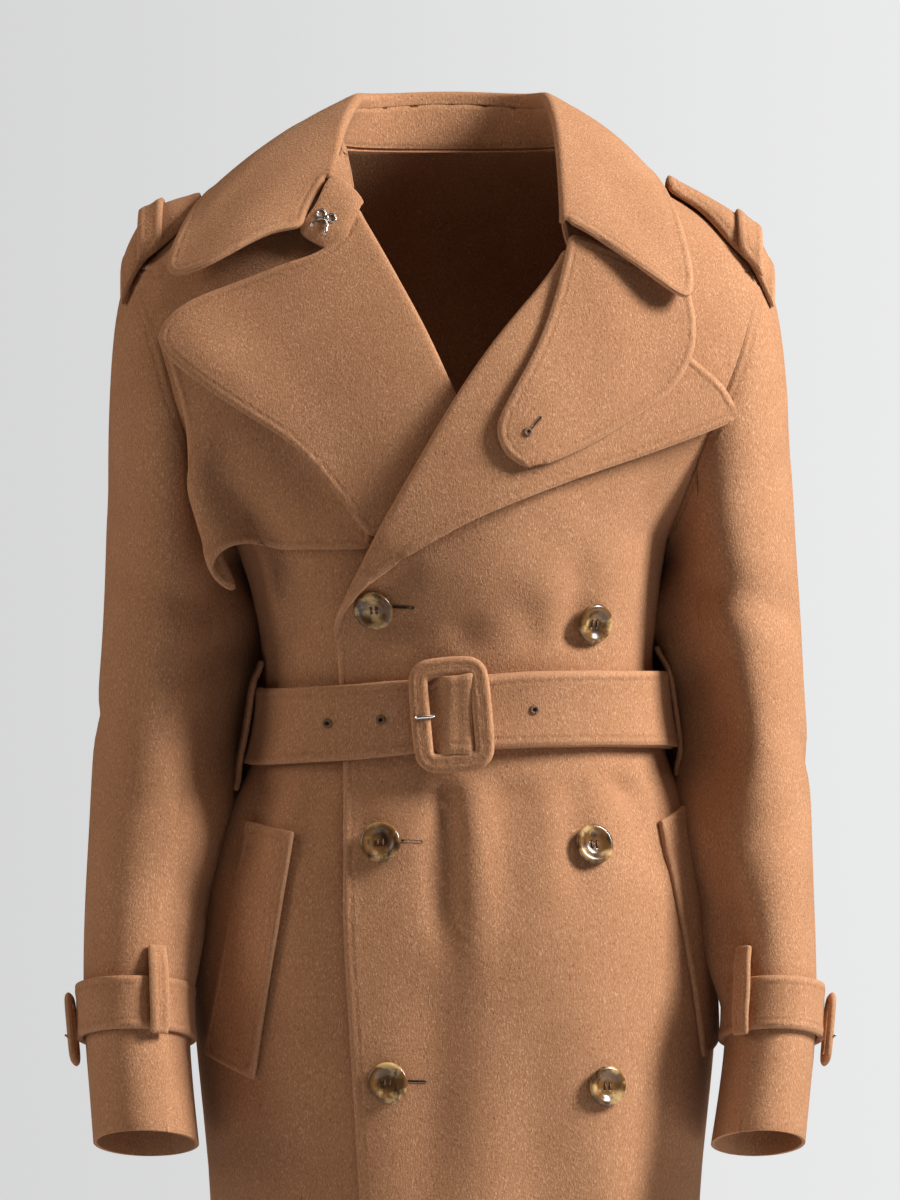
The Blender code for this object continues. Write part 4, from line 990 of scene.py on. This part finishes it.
# Worked openings in millimetres: piece, middle seen from the front, length, half width, slope in
# degrees and an eye's radius.
OPENINGS = table("name piece x z length half slope eye", (
    ("upper", "wool_front_left", -32.0, -316.4, 15.0, 0.9, -4.0, 0.0),
    ("middle", "wool_front_left", -26.4, -477.4, 15.0, 0.9, -3.0, 0.0),
    ("lower", "wool_front_left", -23.8, -641.2, 15.0, 0.9, -2.0, 0.0),
    ("throat", "wool_throat_flap", 57.4, -191.8, 15.0, 0.9, 49.0, 0.0),
    ("throat_eye", "wool_throat_flap", 53.2, -196.7, 4.4, 2.2, 0.0, 2.2),
    ("belt_first", "wool_belt", -84.7, -396.9, 4.8, 2.4, 0.0, 2.4),
    ("belt_second", "wool_belt", -47.6, -394.1, 4.8, 2.4, 0.0, 2.4),
    ("belt_third", "wool_belt", 58.1, -387.1, 4.8, 2.4, 0.0, 2.4),
))


# Thread of an eyelet and of a slot, how high it and the dark inside lie, and how deep that goes.
EYE_THREAD = 1.1 * MM
SLOT_THREAD = 0.45 * MM
THREAD_RISE = 0.15 * MM
HOLE_RISE = 0.14 * MM
HOLE_DEPTH = 0.6 * MM


def worked_opening(row, settings):
    """A buttonhole or eyelet: thread round its edge and a dark slot inside, coloured with painted shade."""
    turn = math.radians(row["slope"])
    outline = stadium(row["length"] * MM, row["half"] * MM, 7)
    rim, floor = [], []
    for across, up in outline:
        x = row["x"] * MM + across * math.cos(turn) - up * math.sin(turn)
        z = row["z"] * MM + across * math.sin(turn) + up * math.cos(turn)
        place, normal = seat(row["piece"], x, z)
        rim.append(place + normal * THREAD_RISE)
        floor.append(place + normal * HOLE_RISE)
    work = bmesh.new()
    tube(work, rim, EYE_THREAD if row["eye"] else SLOT_THREAD, True)
    link("thread_" + row["name"], finish_mesh(work, "thread_" + row["name"]),
         shared("Sewing thread", lambda: thread_material(settings)))
    # Painted shade: a near-black slot sits inside the thread where the opening lies in shade.
    work = bmesh.new()
    top = work.faces.new([work.verts.new(place) for place in floor])
    deep = bmesh.ops.extrude_face_region(work, geom=[top])
    _, normal = seat(row["piece"], row["x"] * MM, row["z"] * MM)
    lower = [item for item in deep["geom"] if isinstance(item, bmesh.types.BMVert)]
    bmesh.ops.translate(work, vec=-normal * HOLE_DEPTH, verts=lower)
    link("hole_" + row["name"], finish_mesh(work, "hole_" + row["name"]),
         shared("Painted hole shade", hole_material))


class COAT_OT_body(bpy.types.Operator):
    """Makes the fronts, the back and the pocket welts"""
    bl_idname = "coat.body"
    bl_label = "Body and Pockets"

    def execute(self, context):
        return make_sheets(context, ("front", "back", "pocket"))


class COAT_OT_sleeves(bpy.types.Operator):
    """Makes both sleeves with their cuff straps and loops"""
    bl_idname = "coat.sleeves"
    bl_label = "Sleeves and Cuffs"

    def execute(self, context):
        make_sheets(context, ("sleeve", "cuff"))
        for node in ("cuff_buckle_left", "cuff_buckle_right"):
            make_cloth(node, context.scene.coat_cloth)
        return {"FINISHED"}


class COAT_OT_collar(bpy.types.Operator):
    """Makes the collar, the flaps and the shoulder straps"""
    bl_idname = "coat.collar"
    bl_label = "Collar, Flaps and Shoulder Straps"

    def execute(self, context):
        return make_sheets(context, ("collar", "throat", "storm", "epaulette"))


class COAT_OT_belt(bpy.types.Operator):
    """Makes the belt, its loops and its covered buckle"""
    bl_idname = "coat.belt"
    bl_label = "Belt"

    def execute(self, context):
        make_sheets(context, ("belt",))
        make_cloth("belt_buckle", context.scene.coat_cloth)
        return {"FINISHED"}


class COAT_OT_buttons(bpy.types.Operator):
    """Makes the six horn buttons with their thread"""
    bl_idname = "coat.buttons"
    bl_label = "Buttons"

    def execute(self, context):
        settings = context.scene.coat_trim
        radius = settings.button / 2
        form = turned_button(radius)
        for node in BUTTONS:
            foot, out, up = button_frame(node, context.scene.coat_cloth.crease)
            side = up.cross(out)
            turned = Matrix((side, up, out)).transposed().to_4x4()
            turned.translation = foot
            mesh = form.copy()
            mesh.transform(turned)
            horn = shared("Mottled horn", lambda: horn_material(settings))
            piece = link("horn_" + node, mesh, horn)
            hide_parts(node)
            work = bmesh.new()
            level = DISH_HEIGHT * radius + THREAD_LIFT
            reach = HOLE_REACH * radius
            for share in (-1, 1):
                ends = [Vector((share * reach, place, level)) for place in (-reach, 0.0, reach)]
                ends[1].z += THREAD_LIFT
                down = [Vector((end.x, end.y, THREAD_FOOT * radius)) for end in (ends[0], ends[2])]
                tube(work, [down[0], *ends, down[1]], THREAD_RADIUS, False)
            mesh = finish_mesh(work, "thread_" + node)
            mesh.transform(turned)
            link("thread_" + node, mesh, shared("Sewing thread", lambda: thread_material(settings)))
        bpy.data.meshes.remove(form)
        return {"FINISHED"}


# Wire of the collar hook seen from the front: two sewn eyes and the bent hook, in millimetres.
HOOK_EYES = table("x z radius", ((-89.0, -43.4, 2.9), (-81.9, -46.7, 2.8)))
HOOK_BEND = table("x z", (
    (-96.2, -53.0), (-94.6, -50.2), (-92.2, -47.9), (-89.4, -46.7), (-86.9, -47.1), (-85.2, -49.2),
    (-84.8, -52.2), (-85.6, -55.8), (-86.9, -59.0),
))
HOOK_WIRE = 0.75 * MM
HOOK_SEAT = (-88 * MM, -50 * MM)
RING_STEPS = 20
FITTING_LEVELS = 2


def bent_hook():
    """The wire hook at the end of the collar stand, lying on the cloth."""
    place, normal = seat("wool_collar_stand_end", *HOOK_SEAT)

    def lie(x, z, rise):
        """The point over the cloth at a place seen from the front"""
        deep = place.y - (normal.x * (x - place.x) + normal.z * (z - place.z)) / normal.y
        return Vector((x, deep - rise, z))

    work = bmesh.new()
    for eye in HOOK_EYES:
        ring = []
        for step in range(RING_STEPS):
            angle = 2.0 * math.pi * step / RING_STEPS
            across = eye["x"] + eye["radius"] * math.cos(angle)
            ring.append(lie(across * MM, (eye["z"] + eye["radius"] * math.sin(angle)) * MM, HOOK_WIRE))
        tube(work, ring, HOOK_WIRE, True)
    bend = [lie(row["x"] * MM, row["z"] * MM, 2.4 * HOOK_WIRE) for row in HOOK_BEND]
    tube(work, bend, 1.2 * HOOK_WIRE, False)
    return finish_mesh(work, "silver_collar_hook")


class COAT_OT_fittings(bpy.types.Operator):
    """Makes the prongs, the buckle bar and the collar hook in silver wire"""
    bl_idname = "coat.fittings"
    bl_label = "Metal Fittings"

    def execute(self, context):
        settings = context.scene.coat_trim
        for node in FITTINGS:
            mesh = bent_hook() if node == "collar_hook" else smooth_copy(node, FITTING_LEVELS)
            silver = shared("Silver wire", lambda: metal_material(settings))
            piece = link("silver_" + node, mesh, silver)
            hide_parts(node)
        return {"FINISHED"}


class COAT_OT_openings(bpy.types.Operator):
    """Works the buttonholes and the belt's eyelets"""
    bl_idname = "coat.openings"
    bl_label = "Buttonholes and Eyelets"

    def execute(self, context):
        for row in OPENINGS:
            worked_opening(row, context.scene.coat_trim)
        return {"FINISHED"}


# Lamps of the studio: place and size in metres, which setting gives the power, the share of it, and
# the colour of the light.
LAMPS = table("name x y z width height group share tint", (
    ("key", 2.60, -0.88, 1.35, 0.8, 1.3, "key", 1.0, (1.0, 1.0, 1.0)),
    ("rim", -2.6, -0.50, 0.6, 0.9, 2.0, "fill", 0.9, (1.0, 0.88, 0.78)),
    ("top", 0.5, -1.1, 2.5, 1.2, 1.0, "fill", 0.4, (1.0, 0.86, 0.75)),
))


# What the lamps point at, the size and distance of the backdrop, the floor, and the camera's sensor.
AIM = Vector((0.0, 0.0, -0.35))
PAPER_HALF = 3.0
PAPER_DISTANCE = 11.0
FLOOR_RADIUS = 2.6
SENSOR = 36.0
COAT_FRONT = -0.05


class COAT_OT_stage(bpy.types.Operator):
    """Sets the floor, the backdrop, the soft studio light and the camera"""
    bl_idname = "coat.stage"
    bl_label = "Studio"

    def hang_backdrop(self, context, settings):
        """A lit paper backdrop far behind the coat"""
        work = bmesh.new()
        bmesh.ops.create_grid(work, x_segments=1, y_segments=1, size=PAPER_HALF)
        bmesh.ops.rotate(work, verts=work.verts, matrix=Matrix.Rotation(math.radians(90.0), 3, "X"))
        bmesh.ops.translate(work, verts=work.verts, vec=(0.0, PAPER_DISTANCE, settings.middle))
        mesh = finish_mesh(work, "studio_backdrop")
        paper = bpy.data.objects.new("studio_backdrop", mesh)
        context.scene.collection.objects.link(paper)
        made, tree, shader = new_material("Lit paper")
        place = object_place(tree)
        parts = add_node(tree, "ShaderNodeSeparateXYZ", {0: place})
        glow = remap(tree, parts.outputs[0], -1.5, 1.5, 0.90, 1.10)
        shader.inputs["Emission Color"].default_value = (*settings.backdrop, 1.0)
        tree.links.new(glow, shader.inputs["Emission Strength"])
        shader.inputs["Base Color"].default_value = (0.0, 0.0, 0.0, 1.0)
        mesh.materials.append(made)

    def execute(self, context):
        settings = context.scene.coat_stage
        work = bmesh.new()
        bmesh.ops.create_circle(
            work, cap_ends=True, segments=96, radius=FLOOR_RADIUS,
            matrix=Matrix.Translation((0, 0, settings.floor)))
        mesh = finish_mesh(work, "studio_floor")
        floor = bpy.data.objects.new("studio_floor", mesh)
        context.scene.collection.objects.link(floor)
        made, tree, shader = new_material("Pale floor")
        place = object_place(tree)
        patch = noise(tree, place, 3.0, 3.0)
        tree.links.new(
            blend(tree, patch, (0.70, 0.70, 0.71, 1.0), (0.76, 0.76, 0.77, 1.0)), shader.inputs["Base Color"])
        shader.inputs["Roughness"].default_value = 0.8
        mesh.materials.append(made)
        world = bpy.data.worlds.new("Studio")
        world.use_nodes = True
        back = world.node_tree.nodes["Background"]
        back.inputs[0].default_value = (*settings.backdrop, 1.0)
        back.inputs[1].default_value = settings.ambient
        context.scene.world = world
        context.scene.view_settings.view_transform = "Standard"
        self.hang_backdrop(context, settings)
        for row in LAMPS:
            lamp = bpy.data.lights.new(row["name"], "AREA")
            lamp.shape = "RECTANGLE"
            lamp.size = row["width"]
            lamp.size_y = row["height"]
            lamp.energy = row["share"] * getattr(settings, row["group"])
            lamp.color = row["tint"]
            holder = bpy.data.objects.new(row["name"], lamp)
            holder.location = (row["x"], row["y"], row["z"])
            holder.rotation_euler = (AIM - holder.location).to_track_quat("-Z", "Y").to_euler()
            context.scene.collection.objects.link(holder)
        lens = bpy.data.cameras.new("camera")
        lens.sensor_fit = "VERTICAL"
        lens.sensor_width = SENSOR
        lens.sensor_height = SENSOR
        lens.lens = SENSOR * settings.distance / settings.coverage
        camera = bpy.data.objects.new("camera", lens)
        camera.location = (0.0, COAT_FRONT - settings.distance, settings.middle)
        camera.rotation_euler = (math.radians(90.0), 0.0, 0.0)
        context.scene.collection.objects.link(camera)
        context.scene.camera = camera
        return {"FINISHED"}


class COAT_PT_panel(bpy.types.Panel):
    """Steps and settings of the coat"""
    bl_idname = "COAT_PT_panel"
    bl_label = "Belted Long Coat"
    bl_space_type = "VIEW_3D"
    bl_region_type = "UI"
    bl_category = "Coat"

    def draw(self, context):
        layout = self.layout
        for operator in OPERATORS:
            layout.operator(operator.bl_idname)
        for name in SETTINGS:
            group = getattr(context.scene, name)
            column = layout.column(heading=name)
            for field in group.bl_rna.properties:
                if field.identifier not in ("rna_type", "name"):
                    column.prop(group, field.identifier)


OPERATORS = (
    COAT_OT_body, COAT_OT_sleeves, COAT_OT_collar, COAT_OT_belt, COAT_OT_buttons, COAT_OT_fittings,
    COAT_OT_openings, COAT_OT_stage,
)
SETTINGS = {"coat_cloth": CoatClothSettings, "coat_trim": CoatTrimSettings, "coat_stage": CoatStageSettings}
CLASSES = (*SETTINGS.values(), *OPERATORS, COAT_PT_panel)


def register():
    for item in CLASSES:
        bpy.utils.register_class(item)
    for name, group in SETTINGS.items():
        setattr(bpy.types.Scene, name, PointerProperty(type=group))


def unregister():
    for name in SETTINGS:
        delattr(bpy.types.Scene, name)
    for item in reversed(CLASSES):
        bpy.utils.unregister_class(item)


def main():
    register()
    bpy.ops.coat.body()
    bpy.ops.coat.sleeves()
    bpy.ops.coat.collar()
    bpy.ops.coat.belt()
    bpy.ops.coat.buttons()
    bpy.ops.coat.fittings()
    bpy.ops.coat.openings()
    bpy.ops.coat.stage()


if __name__ == "__main__":
    main()
